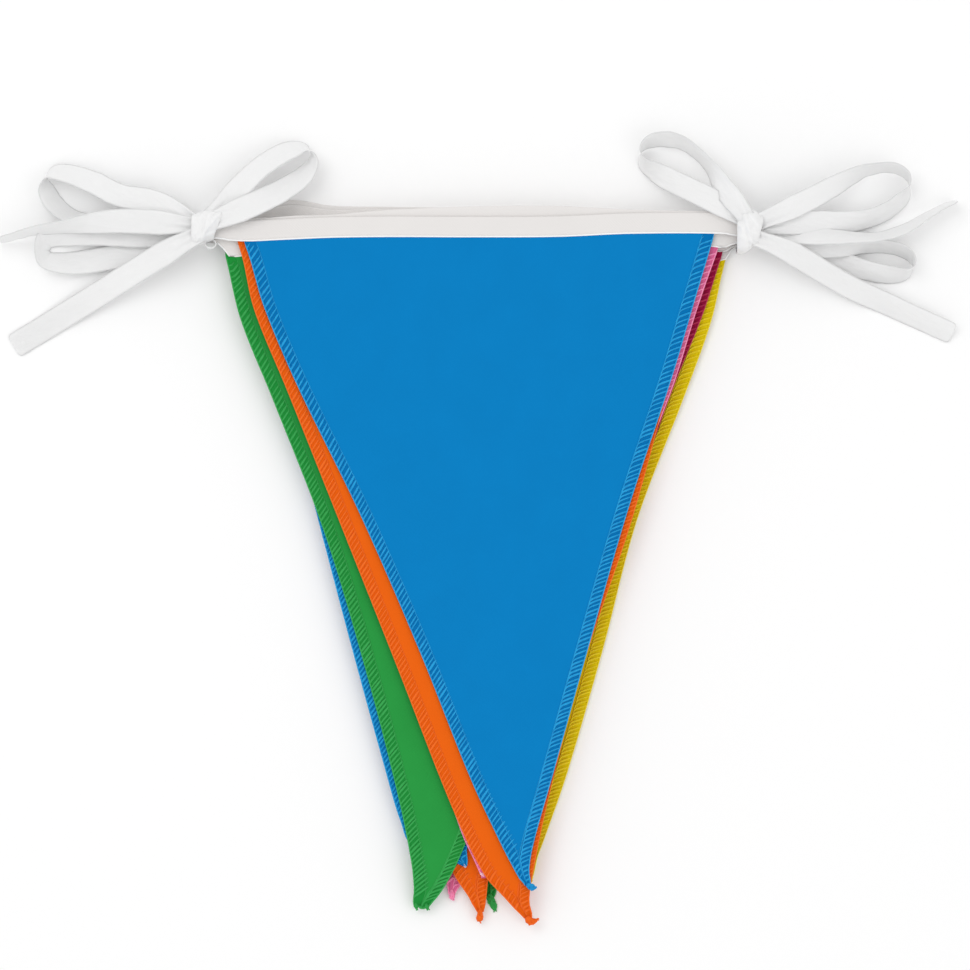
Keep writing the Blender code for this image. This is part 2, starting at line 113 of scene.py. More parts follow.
# --- nodes ----------------------------------------------------------------------------------------
def linear(code: str) -> tuple[float, float, float, float]:
    """Turn six sRGB hex digits to the linear red, green, blue and alpha that Blender mixes."""
    parts = [int(code[i:i + 2], 16) / 255 for i in (0, 2, 4)]
    return (*[p / 12.92 if p <= 0.04045 else ((p + 0.055) / 1.055) ** 2.4 for p in parts], 1.0)


def add_node(tree: NodeTree, kind: str, settings: dict | None = None,
             inputs: dict | None = None) -> Node:
    """Add a node to a material.

    Args:
        tree: the material's node tree.
        kind: the node's type name.
        settings: properties to set on the node.
        inputs: for each input, by name or number, a value or the output socket to link to it.

    Returns:
        The new node.
    """
    made = tree.nodes.new(kind)
    for key, value in (settings or {}).items():
        setattr(made, key, value)
    for key, value in (inputs or {}).items():
        if isinstance(value, NodeSocket):
            tree.links.new(value, made.inputs[key])
        else:
            made.inputs[key].default_value = value
    return made


def calculate(tree: NodeTree, operation: str, *values: object) -> NodeSocket:
    """Work out a number in a material, from numbers or sockets, and give its socket."""
    settings = {"operation": operation}
    return add_node(tree, "ShaderNodeMath", settings, dict(enumerate(values))).outputs[0]


def mix_colours(tree: NodeTree, share: NodeSocket, first: object,
                second: object) -> NodeSocket:
    """Mix a share of a second colour, or socket, into a first one, and give its socket."""
    return add_node(tree, "ShaderNodeMix", {"data_type": "RGBA"}, {
        "Factor": share, "A": first, "B": second}).outputs["Result"]


def cloth_place(tree: NodeTree) -> NodeSocket:
    """The socket of a place's own coordinates on its cloth, along it and across it."""
    return add_node(tree, "ShaderNodeUVMap", {"uv_map": CLOTH_MAP}).outputs["UV"]


def unevenness(tree: NodeTree, scale: float, detail: float,
               roughness: float = 0.5) -> NodeSocket:
    """Nodes for what is never quite even in yarn and dye.

    Args:
        tree: the material's node tree.
        scale: how many patches there are to a metre.
        detail: how many finer patches lie in them.
        roughness: how strong the finer ones are.

    Returns:
        The socket of its strength, from 0 to 1.
    """
    place = add_node(tree, "ShaderNodeTexCoord").outputs["Object"]
    return add_node(tree, "ShaderNodeTexNoise", inputs={
        "Vector": place, "Scale": scale, "Detail": detail, "Roughness": roughness}).outputs["Fac"]


def weave_height(tree: NodeTree, spacing: float) -> NodeSocket:
    """Nodes for a plain weave, in the piece's own cloth coordinates.

    Args:
        tree: the material's node tree.
        spacing: the distance from thread to thread.

    Returns:
        The socket of the cloth's height, from -1 to 1.
    """
    parts = add_node(tree, "ShaderNodeSeparateXYZ", inputs={0: cloth_place(tree)}).outputs
    waves = [calculate(tree, "SINE", calculate(tree, "MULTIPLY", parts[axis], math.pi / spacing))
             for axis in ("X", "Y")]
    return calculate(tree, "MULTIPLY", *waves)


def plain_material(name: str, values: dict) -> tuple[Material, NodeTree, Node]:
    """Start a material.

    Args:
        name: what the real material is.
        values: what is the same all over it, for each input of its shader.

    Returns:
        The material, its node tree and its Principled shader.
    """
    made = bpy.data.materials.new(name)
    made.use_nodes = True
    shader = made.node_tree.nodes["Principled BSDF"]
    for key, value in values.items():
        shader.inputs[key].default_value = value
    return made, made.node_tree, shader


# --- pieces ---------------------------------------------------------------------------------------
class Sewing:
    """Gathers the points and faces of one piece, in millimetres, and makes the piece of them."""

    def __init__(self) -> None:
        """Start with nothing."""
        self.points: list[Vector] = []
        self.faces: list[tuple[int, ...]] = []
        self.uvs: list[tuple[float, float]] = []
        self.shades: list[float] = []

    def sheet(self, rows: Sequence[Sequence[Vector]], uvs: Sequence[Sequence[tuple[float, float]]],
              closed: bool = False, shades: Sequence[Sequence[float]] = ()) -> None:
        """Add one sheet over a grid of points.

        Args:
            rows: the grid's rows of points, all of one length.
            uvs: the cloth's own coordinates of each point.
            closed: whether the last row joins the first again.
            shades: how deep in its hem each point lies, from 0 to 1.
        """
        start, wide = len(self.points), len(rows[0])
        for row, marks in zip(rows, uvs):
            self.points += row
            self.uvs += marks
        for row in shades:
            self.shades += row
        count = len(rows)
        for i in range(count if closed else count - 1):
            this, following = start + i * wide, start + (i + 1) % count * wide
            for j in range(wide - 1):
                self.faces.append((this + j, this + j + 1, following + j + 1, following + j))

    def thread(self, path: Sequence[Vector], radius: float | Sequence[float], sides: int = 5,
               ends: float = 0.35, flat: float = 1.0, shade: float = 0.0) -> None:
        """Add one thread with closed, tapered ends.

        Args:
            path: the points that the thread's middle runs through.
            radius: the thread's radius, or its radius at each point.
            sides: how many sides it has.
            ends: its radius at each end, as a share of the whole.
            flat: its height as a share of its width.
            shade: how bleached it is, from 0 to 1.
        """
        start, last = len(self.points), len(path) - 1
        self.shades += [shade] * (len(path) * sides)
        radii = [radius] * (last + 1) if isinstance(radius, float) else radius
        reference = UP
        for i, place in enumerate(path):
            along = direction(path, i)
            if abs(along.dot(reference)) > 0.95:        # it runs nearly straight up
                reference = Vector((1.0, 0.0, 0.0))
            sideways = along.cross(reference).normalized()
            up = sideways.cross(along) * flat
            size = radii[i] * (ends if i in (0, last) else 1.0)
            for k in range(sides):
                turn = 2 * math.pi * k / sides
                self.points.append(place + sideways * math.cos(turn) * size
                                   + up * math.sin(turn) * size)
                self.uvs.append((float(i), k / sides))
        for i in range(last):
            for k in range(sides):
                m = (k + 1) % sides
                a, b = start + i * sides, start + (i + 1) * sides
                self.faces.append((a + k, a + m, b + m, b + k))
        self.faces.append(tuple(start + k for k in range(sides))[::-1])
        self.faces.append(tuple(start + last * sides + k for k in range(sides)))

    def make(self, name: str, material: Material, thickness: float = 0.0,
             subdivide: int = 0) -> Object:
        """Make the piece.

        Args:
            name: the piece's name.
            material: its finish.
            thickness: of the cloth, or 0 for a piece that is closed already.
            subdivide: how often its faces are halved and smoothed.

        Returns:
            The new object, at the origin, in metres.
        """
        mesh = bpy.data.meshes.new(name)
        lowest = thickness / 2 + TABLE_GAP       # the table presses what would sink into it flat
        placed = [(p.x * MM, (p.y + DRAWING_Y) * MM, max(p.z, lowest) * MM) for p in self.points]
        mesh.from_pydata(placed, [], self.faces)
        layer = mesh.uv_layers.new(name=CLOTH_MAP)
        for loop in mesh.loops:
            layer.data[loop.index].uv = self.uvs[loop.vertex_index]
        if any(self.shades):
            mesh.attributes.new(SHADE, "FLOAT", "POINT").data.foreach_set("value", self.shades)
        mesh.materials.append(material)
        mesh.shade_smooth()
        mesh.update()
        piece = bpy.data.objects.new(name, mesh)
        bpy.context.scene.collection.objects.link(piece)
        if subdivide:
            smoother = piece.modifiers.new("smooth", "SUBSURF")
            smoother.levels = smoother.render_levels = subdivide
        if thickness:
            wall = piece.modifiers.new("thickness", "SOLIDIFY")
            wall.thickness, wall.offset = thickness * MM, 0.0
        return piece


def dress(piece: Object, node: str) -> Object:
    """Say what body a piece rides on and which solid it stands for, and hide that solid.

    Args:
        piece: the piece.
        node: the solid that it replaces.

    Returns:
        The same piece.
    """
    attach(piece, BODY)
    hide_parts(node)
    return piece


# --- finishes -------------------------------------------------------------------------------------
class Dye(Enum):
    """The cloth colours, each by the record's slot."""
    BLUE = "blue_cloth"
    ORANGE = "orange_cloth"
    PINK = "pink_cloth"
    GREEN = "green_cloth"
    MAGENTA = "magenta_cloth"
    YELLOW = "yellow_cloth"


@dataclass(frozen=True)
class Pongee:
    """Dyed polyester pongee: a thin plain-woven cloth, matt with a faint sheen, even in colour.

    Attributes:
        dye: which colour it is.
        face: the cloth's colour, as sRGB hex.
        valley: the colour between its threads.
        hem: the cloth's colour in its hem band. It is darker partly for the hem's two layers of
            cloth and partly as painted shade where the stitches shade it.
        thread: the colour of its overlocking thread, lighter than the cloth; the thread's painted
            highlights are mixed towards it and past it.
        thread_mm: distance from thread to thread.  The real one is about 0.2 mm, too fine to
            show in the render, so it is drawn coarser.
        roughness, specular, sheen: how matt the cloth is, how strong its gloss, and how strong
            the faint light on its fibre ends.
        bleached: the colour of a thread that isn't dyed, only tinted.
    """
    dye: Dye
    face: str
    valley: str
    hem: str
    thread: str
    thread_mm: float = 0.75
    roughness: float = 0.92
    specular: float = 0.08
    sheen: float = 0.015
    bleached: str = "F6E4EC"

    def cloth(self) -> Material:
        """The woven cloth's material.

        Returns:
            The material.
        """
        made, tree, shader = plain_material(f"dyed_pongee_{self.dye.name.lower()}", {
            "Roughness": self.roughness, "Specular IOR Level": self.specular,
            "Sheen Weight": self.sheen})
        height = weave_height(tree, self.thread_mm)
        # slubs: a thread that is a little thicker or paler, every few centimetres
        share = calculate(tree, "MULTIPLY_ADD", height, 0.1, unevenness(tree, 60.0, 4.0, 0.6))
        woven = mix_colours(tree, share, linear(self.valley), linear(self.face))
        # painted shade: the hem band takes the darker hem colour, partly for its two layers of
        # cloth and partly for the shade between its stitches
        depth = add_node(tree, "ShaderNodeAttribute", {"attribute_name": SHADE}).outputs["Fac"]
        colour = mix_colours(tree, depth, woven, linear(self.hem))
        tree.links.new(colour, shader.inputs["Base Color"])
        bump = add_node(tree, "ShaderNodeBump", inputs={
            "Strength": 0.12, "Distance": 0.06 * MM, "Height": height})
        tree.links.new(bump.outputs["Normal"], shader.inputs["Normal"])
        return made

    def sewing_thread(self) -> Material:
        """The overlocking thread's material: bulky textured polyester, lighter than the cloth, with
        painted highlights in spots.

        Returns:
            The material.
        """
        made, tree, shader = plain_material(f"overlock_thread_{self.dye.name.lower()}", {
            "Roughness": 0.7, "Specular IOR Level": 0.15, "Sheen Weight": 0.05})
        # painted highlights: in spots the thread's colour swings from the cloth's colour to lighter
        # than its own, as if its textured yarn caught the light
        glint_spots = add_node(tree, "ShaderNodeMapRange", inputs={
            "Value": unevenness(tree, 350.0, 3.0), "From Min": 0.35, "From Max": 0.65,
            "To Min": 0.45, "To Max": 1.15}).outputs[0]
        dyed = mix_colours(tree, glint_spots, linear(self.face), linear(self.thread))
        bleach = add_node(tree, "ShaderNodeAttribute", {"attribute_name": SHADE}).outputs["Fac"]
        colour = mix_colours(tree, bleach, dyed, linear(self.bleached))
        tree.links.new(colour, shader.inputs["Base Color"])
        return made


@dataclass(frozen=True)
class WovenWhite:
    """Bleached polyester tape or ribbon, plain woven, its ribs running across it.

    Attributes:
        name: what it is.
        face: its colour, as sRGB hex.
        valley: the colour between its ribs.
        rib_mm: distance from rib to rib.
        roughness: lower for a calendered ribbon than for a matt tape.
        bump_mm: height of its ribs.
        width_mm: its width, if its woven edges show as fine lines, or 0.
        edge: the colour of those lines.
        crease: how deep the creases across it are.
        glow: how much light passes through it.
    """
    name: str
    face: str
    valley: str
    rib_mm: float
    roughness: float
    bump_mm: float
    width_mm: float = 0.0
    edge: str = "D9D9D9"
    crease: float = 0.0
    glow: float = 0.35

    def material(self) -> Material:
        """The tape's or the ribbon's material.

        Returns:
            The material.
        """
        # it is so thin that some light comes through
        made, tree, shader = plain_material(self.name, {
            "Roughness": self.roughness, "Specular IOR Level": 0.3, "Subsurface Weight": self.glow,
            "Subsurface Radius": (1.0, 1.0, 1.0), "Subsurface Scale": 0.8 * MM})
        height = weave_height(tree, self.rib_mm)
        # wear: handled cloth is a little greyer here and there
        share = calculate(tree, "MULTIPLY_ADD", height, 0.15, unevenness(tree, 45.0, 3.0))
        colour = mix_colours(tree, share, linear(self.valley), linear(self.face))
        if self.width_mm:
            colour = self.edge_lines(tree, colour)
        tree.links.new(colour, shader.inputs["Base Color"])
        normal = add_node(tree, "ShaderNodeBump", inputs={
            "Strength": 0.3, "Distance": self.bump_mm * MM, "Height": height}).outputs["Normal"]
        if self.crease:
            normal = self.creases(tree, normal)
        tree.links.new(normal, shader.inputs["Normal"])
        return made

    def creases(self, tree: NodeTree, normal: NodeSocket) -> NodeSocket:
        """Press in the creases that tying and packing leave, across the ribbon and a little aslant.

        Args:
            tree: the material's node tree.
            normal: which way the woven surface faces without them.

        Returns:
            Which way it faces with them.
        """
        stretch = add_node(tree, "ShaderNodeMapping", inputs={
            "Vector": cloth_place(tree), "Rotation": (0.0, 0.0, 0.35), "Scale": (0.16, 0.5, 1.0)})
        crush = add_node(tree, "ShaderNodeTexNoise", inputs={
            "Vector": stretch.outputs["Vector"], "Scale": 1.0, "Detail": 2.0})
        return add_node(tree, "ShaderNodeBump", inputs={
            "Strength": self.crease, "Distance": 1.0 * MM, "Height": crush.outputs["Fac"],
            "Normal": normal}).outputs["Normal"]

    def edge_lines(self, tree: NodeTree, colour: NodeSocket) -> NodeSocket:
        """Draw the denser woven edges on the ribbon.

        Args:
            tree: the material's node tree.
            colour: the ribbon's colour without them.

        Returns:
            Its colour with them.
        """
        half = self.width_mm / 2
        across = add_node(tree, "ShaderNodeSeparateXYZ", inputs={0: cloth_place(tree)}).outputs["Y"]
        far = calculate(tree, "ABSOLUTE", calculate(tree, "SUBTRACT", across, half))
        line = add_node(tree, "ShaderNodeMapRange", inputs={
            "Value": far, "From Min": half - 0.75, "From Max": half - 0.2,
            "To Min": 0.0, "To Max": 0.75})
        return mix_colours(tree, line.outputs[0], colour, linear(self.edge))


DYES = {finish.dye: finish for finish in (
    Pongee(Dye.BLUE, "0580C4", "047ABC", "0270B2", "22A0DC"),
    Pongee(Dye.ORANGE, "EE6712", "E8600E", "E65F0C", "F56E1E"),
    Pongee(Dye.PINK, "F27BAE", "EC72A7", "DC6896", "FF98C0"),
    Pongee(Dye.GREEN, "2C9C45", "27923F", "1F8D39", "38A852"),
    Pongee(Dye.MAGENTA, "A8184C", "A01444", "98123E", "BC3458"),
    Pongee(Dye.YELLOW, "E6CE10", "E0C80C", "DEC60A", "F0DA28"),
)}
TAPE_FINISH = WovenWhite("woven_polyester_heading_tape", "E8E5E3", "E2DFDD", 0.6, 0.9, 0.04,
                         glow=0.0)
EDGE_FINISH = WovenWhite("tape_selvage_cord", "FFFFFF", "FAFAFA", 0.5, 0.8, 0.03, glow=0.0)
RIBBON_FINISH = WovenWhite("calendered_taffeta_ribbon", "EFEFEF", "EBEBEB", 0.45, 0.6, 0.03,
                           width_mm=10.0, crease=0.35)
# painted light: the knot's wrap and the curl under it are the same ribbon, drawn a shade lighter
# than its loops and tails
LIGHTER_KNOT_FINISH = WovenWhite("calendered_taffeta_ribbon_tied", "F3F3F3", "EEEEEE", 0.45, 0.6, 0.03)


# --- the stack ------------------------------------------------------------------------------------
class Crease(NamedTuple):
    """A crease over a knot: a place on it, the way it runs in degrees, and its height."""
    x: float
    y: float
    turned: float
    height: float


@dataclass(frozen=True)
class Knot:
    """Where a knot sits and how its wrap bulges.

    Attributes:
        x, y: its middle.
        half_x, reach: how far it reaches towards -X and towards +X.
        folds_past: how far the tape's folds reach past its middle.
        upper, lower: how far its wrap reaches above and below its middle, at SHAPE_AT along it.
        slant: how far its upper corner towards +X reaches past the lower one.
        squeeze: how much narrower it ties the tape, as a share.
        folds: the creases over its top.
    """
    x: float
    y: float
    half_x: float
    reach: float
    folds_past: float
    upper: tuple[float, ...]
    lower: tuple[float, ...]
    slant: float
    squeeze: float
    folds: tuple[Crease, ...]


SHAPE_AT = (-1.0, -0.4, 0.3, 1.0)
LEFT_KNOT = Knot(
    x=-115.5, y=127.8, half_x=5.4, reach=3.6, folds_past=1.4,
    upper=(5.4, 6.4, 7.4, 7.8), lower=(-7.0, -7.0, -5.9, -5.2), slant=3.6, squeeze=0.2,
    folds=(Crease(-2.4, 2.0, 62.0, 0.5), Crease(0.6, -1.0, 74.0, 0.7),
           Crease(3.0, 1.5, 50.0, 0.6), Crease(-1.0, -4.5, 20.0, 0.4)))
RIGHT_KNOT = Knot(
    x=116.4, y=126.8, half_x=5.6, reach=3.2, folds_past=1.5,
    upper=(6.4, 8.9, 8.4, 5.8), lower=(-9.6, -9.4, -7.0, -6.4), slant=2.2, squeeze=0.0,
    folds=(Crease(-1.2, 0.5, 105.0, 0.7), Crease(1.8, -1.6, -28.0, 0.8),
           Crease(2.4, 2.6, 128.0, 0.5), Crease(0.4, -5.2, -24.0, 0.5)))
RISE_AT = (-105.0, -80.0, -62.0, -38.0, 0.0, 35.0, 66.0, 105.0)     # X where the rises are given
STATIONS = (0.10, 0.22, 0.42, 0.63, 0.83, 0.93, 0.97)   # how far down the bulges are given


@dataclass(frozen=True)
class Stack:
    """How the layers lie on each other.

    Attributes:
        layers: how many there are.
        pitch: height of one layer.
        space: height of the solid that a layer's cloth lies in.
        lifted: how far the stack is raised where the ties pass under it.
        lift_from, lift_to: how far from the middle it starts to rise, and where it is risen.
        heading_y: middle of the heading.
        tape_width: width of the folded tape that shows.
        pinch: most that a layer of tape lies off the middle inside a knot.
        drop: about how long the pennants are.
    """
    layers: int = 10
    pitch: float = 1.3
    space: float = 1.0
    lifted: float = 1.3
    lift_from: float = 66.0
    lift_to: float = 106.0
    heading_y: float = 127.4
    tape_width: float = 8.6
    pinch: float = 2.6
    drop: float = 283.0

    def middle_z(self, index: int, x: float) -> float:
        """Height of the middle of a layer, counted from 0 at the front, at this X."""
        rise = smooth_step((abs(x) - self.lift_from) / (self.lift_to - self.lift_from))
        return (self.layers - 1 - index) * self.pitch + self.space / 2 + self.lifted * rise

    def tape_y(self, rise: Sequence[float], x: float) -> float:
        """Middle of a layer of tape, fanned between the knots and gathered inside them.

        Args:
            rise: how far the layer lies above the heading line at RISE_AT.
            x: where along the heading.

        Returns:
            Its Y.
        """
        places = (LEFT_KNOT.x + LEFT_KNOT.half_x, *RISE_AT, RIGHT_KNOT.x - RIGHT_KNOT.half_x)
        ends = [max(-self.pinch, min(self.pinch, 0.5 * end)) for end in (rise[0], rise[-1])]
        return self.heading_y + curve_through(places, (ends[0], *rise, ends[1]), x)


STACK = Stack()


# --- pennants -------------------------------------------------------------------------------------
class Side(IntEnum):
    """A pennant's sides, each as the way along X that it faces."""
    LEFT = -1
    RIGHT = 1


class Loop(NamedTuple):
    """A place on an overlock stitch.

    Attributes:
        reach: how far in from the edge, as a share of the hem.
        down: how far below the place where the stitch meets the edge.
        lift: its height, as a share of where the thread lies over the cloth.
        thick: its share of the thread's thickness.
    """
    reach: float
    down: float
    lift: float
    thick: float


@dataclass(frozen=True)
class Overlock:
    """The overlocking of one side.

    Attributes:
        looper: radius of the thread of the stitches.
        needle: radius of the thread that runs along their inner ends.
        stitch: the places of one stitch, from its needle hole round the edge to the back.
    """
    looper: float
    needle: float
    stitch: tuple[Loop, ...]


# On the left the thread runs straight up and in.  On the right it climbs along the needle line
# first, and then runs out to the edge.
OVERLOCKS = {
    Side.LEFT: Overlock(0.52, 0.16, (
        Loop(1.05, -4.9, 0.5, 0.5), Loop(0.97, -4.6, 1.0, 0.7), Loop(0.7, -3.3, 1.1, 1.0),
        Loop(0.4, -1.9, 1.05, 1.1), Loop(0.12, -0.6, 0.95, 0.9), Loop(0.0, 0.0, 0.5, 0.8),
        Loop(-0.02, 0.1, 0.0, 0.7), Loop(0.0, 0.1, -0.5, 0.6), Loop(0.2, -0.3, -1.0, 0.5),
        Loop(0.95, -2.4, -1.0, 0.4))),
    Side.RIGHT: Overlock(0.46, 0.26, (
        Loop(1.02, 4.5, 0.5, 0.5), Loop(1.04, 4.0, 1.0, 0.7), Loop(1.0, 2.4, 1.1, 0.9),
        Loop(0.84, 1.6, 1.1, 1.1), Loop(0.5, 0.9, 1.05, 1.1), Loop(0.15, 0.25, 0.95, 0.9),
        Loop(0.0, 0.0, 0.5, 0.8), Loop(-0.02, -0.1, 0.0, 0.7), Loop(0.0, -0.1, -0.5, 0.6),
        Loop(0.95, 2.0, -1.0, 0.4))),
}


class Spot(NamedTuple):
    """A place that a tip's gathered threads run through, and half the bundle's width there."""
    x: float
    y: float
    half: float


@dataclass(frozen=True)
class Bundle:
    """How the thread is gathered at a tip: a core, strands wound round it, and loose ends.

    Attributes:
        steps: places from one spot to the next.
        core, strand: radius of the core and of a strand, as shares of half the bundle's width.
        strands: how many there are.
        winding: how far round the core a strand winds, in radians.
        flat: the bundle's height as a share of its width.
        bleached: how pale the threads of an undyed tip are.
        loose: how many loose ends there are at a dyed tip.
        loose_radius: radius of a loose end.
    """
    steps: int = 6
    core: float = 0.72
    strand: float = 0.26
    strands: int = 8
    winding: float = 3.2
    flat: float = 0.6
    bleached: float = 0.6
    loose: int = 4
    loose_radius: float = 0.32

    def add(self, sewing: Sewing, middles: Sequence[Vector], halves: Sequence[float], pale: bool,
            chance: random.Random) -> None:
        """Add one bundle.

        Args:
            sewing: what its threads are added to.
            middles: the places that its middle runs through.
            halves: half its width at each of them.
            pale: whether its threads are bleached, not dyed.
            chance: where the small differences between strands come from.
        """
        # it widens from the cloth and is rounded off at its end
        last, shade = len(halves) - 1, self.bleached * pale
        closing = [half * math.sqrt(max(1.0 - (k / last) ** 8, 0.12) * min(1.0, (k + 1) / 5))
                   for k, half in enumerate(halves)]
        sewing.thread(middles, [half * self.core for half in closing], sides=10, flat=0.5, ends=0.8,
                      shade=shade)
        for strand in range(self.strands):
            start = 2 * math.pi * (strand + chance.uniform(-0.3, 0.3)) / self.strands
            path = []
            for k, (middle, half) in enumerate(zip(middles, closing)):
                across = direction(middles, k).cross(UP).normalized()
                turn = start + self.winding * k / len(middles) + 0.5 * math.sin(k * 1.1 + strand)
                out = half * (0.74 + 0.14 * math.sin(k * 1.7 + strand * 2.1))
                path.append(middle + across * math.cos(turn) * out
                            + UP * math.sin(turn) * out * self.flat)
            radii = [half * self.strand for half in closing]
            sewing.thread(path, radii, sides=6, ends=0.7, shade=shade)
        along = (middles[-1] - middles[-4]).normalized()
        for _ in range(0 if pale else self.loose):
            lean = Vector([chance.uniform(-most, most) for most in (1.0, 1.0, 0.3)])
            root = middles[-2] + lean * closing[-2] * 0.6
            out = (along + lean * 0.7).normalized() * chance.uniform(0.5, 1.0)
            end = [root, root + out * 0.6, root + out]
            sewing.thread(end, self.loose_radius, ends=0.6, flat=0.7)


BUNDLE = Bundle()


@dataclass(frozen=True)
class Pennant:
    """One pennant: its cloth, the overlocking of both sides, and the thread gathered at its tip.

    Attributes:
        number: its place in the stack, from 1 at the front.
        dye: its colour.
        left, right: X of its top corners.
        tip_x, tip_y, tip_half: its point, and half the width of its blunt end.
        rise: how far its tape lies above the heading line, at RISE_AT.
        bulge_left, bulge_right: how far each side lies outside a straight line from corner to
            tip, at STATIONS.
        knobs: the bundles of gathered thread at its tip.
        neck_x, neck_y, neck_half: where the cloth ends in them, and half its width there.
        pale: whether the bundles' threads are bleached, not dyed.
        droop, droop_from: how far the tip sinks below its layer, and the Y below which it does.
        hem: width of the overlocked band.
        hem_most, band_most: most of the width that a side's stitches and its band take, where
            the tip is narrow.
        shaded: how far in the hem's darker colour reaches, as a share of the band; that colour is
            partly painted shade from the stitches.
        stitch, uneven: distance from stitch to stitch, and how far one may lie off its place.
        closer, closing: share by which the stitches get closer together, and over what length.
        bare: length of the tip, above its neck, that has no stitches.
        proud: how far a stitch stands off the cloth.
        edging: radius of the thread that runs along the cloth's edge.
        tuck: how much of the cloth is sewn into the tape.
        cloth: thickness of the cloth.
        wrinkle: height of the soft waves left in the cloth.
        follows, calm: shares of the way down over which the cloth stops following the curve of
            its tape, and over which its waves grow.
        narrowing: over what length the tip narrows to its neck.
        pleat, pleat_turn: height of the pleats that the tip is gathered in, and how many radians
            of them there are across it.
        rows, columns, band_columns: strips down the cloth, across it, and across a band.
    """
    number: int
    dye: Dye
    left: float
    right: float
    tip_x: float
    tip_y: float
    tip_half: float
    rise: tuple[float, ...]
    bulge_left: tuple[float, ...]
    bulge_right: tuple[float, ...]
    knobs: tuple[tuple[Spot, ...], ...]
    neck_x: float
    neck_y: float
    neck_half: float
    pale: bool = False
    droop: float = 0.0
    droop_from: float = -150.5
    hem: float = 4.7
    hem_most: float = 0.47
    band_most: float = 0.42
    shaded: float = 1.07
    stitch: float = 2.4
    uneven: float = 0.25
    closer: float = 0.26
    closing: float = 130.0
    bare: float = 3.0
    proud: float = 0.12
    edging: float = 0.34
    tuck: float = 3.4
    cloth: float = 0.3
    wrinkle: float = 0.18
    follows: float = 0.07
    calm: float = 0.08
    narrowing: float = 3.5
    pleat: float = 0.3
    pleat_turn: float = 15.0
    rows: int = 88
    columns: int = 34
    band_columns: int = 3

    @property
    def label(self) -> str:
        """The pennant's number and colour, as in its node's name."""
        return f"{self.number:02d}_{self.dye.name.lower()}"

    @property
    def index(self) -> int:
        """Its layer, counted from 0 at the front."""
        return self.number - 1

    @property
    def length(self) -> float:
        """How far its tip lies below the tape."""
        return self.top_y(0.0) - self.tip_y

    @property
    def neck_down(self) -> float:
        """Share of the way down at which the cloth ends in its knob."""
        top = (self.top_y(self.left) + self.top_y(self.right)) / 2
        return min(1.0, (top - self.neck_y) / (top - self.tip_y))

    def top_y(self, x: float) -> float:
        """Y of the line where the cloth leaves the tape, at this X."""
        return STACK.tape_y(self.rise, x) - STACK.tape_width / 2

    def side_x(self, down: float, side: Side) -> float:
        """X of a side.

        Args:
            down: share of the way from the top to the tip.
            side: which side.

        Returns:
            Its X.
        """
        corner, bulges = ((self.left, self.bulge_left) if side is Side.LEFT
                          else (self.right, self.bulge_right))
        straight = corner + (self.tip_x + side * self.tip_half - corner) * down
        place = straight + side * curve_through((0.0, *STATIONS, 1.0), (0.0, *bulges, 0.0), down)
        pinch = smooth_step(1.0 - (self.neck_down - down) * STACK.drop / self.narrowing) ** 1.5
        return place + (self.neck_x + side * self.neck_half - place) * pinch

    def width(self, down: float) -> float:
        """How wide it is at this share of the way down."""
        return self.side_x(down, Side.RIGHT) - self.side_x(down, Side.LEFT)

    def wave(self, x: float, y: float) -> float:
        """Height of the soft waves in the cloth.

        Args:
            x, y: the place, in the drawing.

        Returns:
            The height of a broad wave with a finer one on it, over the flat cloth.
        """
        broad = noise.noise(Vector((x * 0.018, y * 0.011, self.number * 3.1)))
        fine = noise.noise(Vector((x * 0.07, y * 0.04, self.number * 7.7)))
        return self.wrinkle * (broad + 0.35 * fine)

    def sunk(self, y: float) -> float:
        """How far the tip has sunk below its layer.

        Args:
            y: the place, in the drawing.

        Returns:
            The depth, 0 where it doesn't droop.
        """
        if not self.droop or y >= self.droop_from:
            return 0.0
        share = (self.droop_from - y) / (self.droop_from - self.tip_y)
        return self.droop * min(share, 1.12) ** 1.6

    def point(self, offset: float, side: Side, down: float, above: float = 0.0) -> Vector:
        """A place on the cloth, measured inwards from one of its sides.

        Args:
            offset: share of the way across from that side.
            side: the side to measure from.
            down: share of the way from the top to the tip.
            above: height over the middle of the cloth.

        Returns:
            The place.
        """
        across = offset if side is Side.LEFT else 1.0 - offset
        left = self.side_x(down, Side.LEFT)
        x = left + (self.side_x(down, Side.RIGHT) - left) * across
        # the top follows the curve of its tape, and the rest a straight line between its corners
        corners = self.top_y(self.left), self.top_y(self.right)
        level = corners[0] + (corners[1] - corners[0]) * across
        top_x = self.left + (self.right - self.left) * across
        y = level + (self.tip_y - level) * down
        y += (self.top_y(top_x) - level) * smooth_step(1.0 - down / self.follows)
        # flat under the tape, waved below it, and pleated where it is gathered
        z = STACK.middle_z(self.index, x) + self.wave(x, y) * smooth_step(down / self.calm)
        gathered = smooth_step((down / self.neck_down - 0.9) / 0.1)
        z += self.pleat * math.cos(across * self.pleat_turn + self.number) * gathered
        return Vector((x, y, z - self.sunk(y) + above))

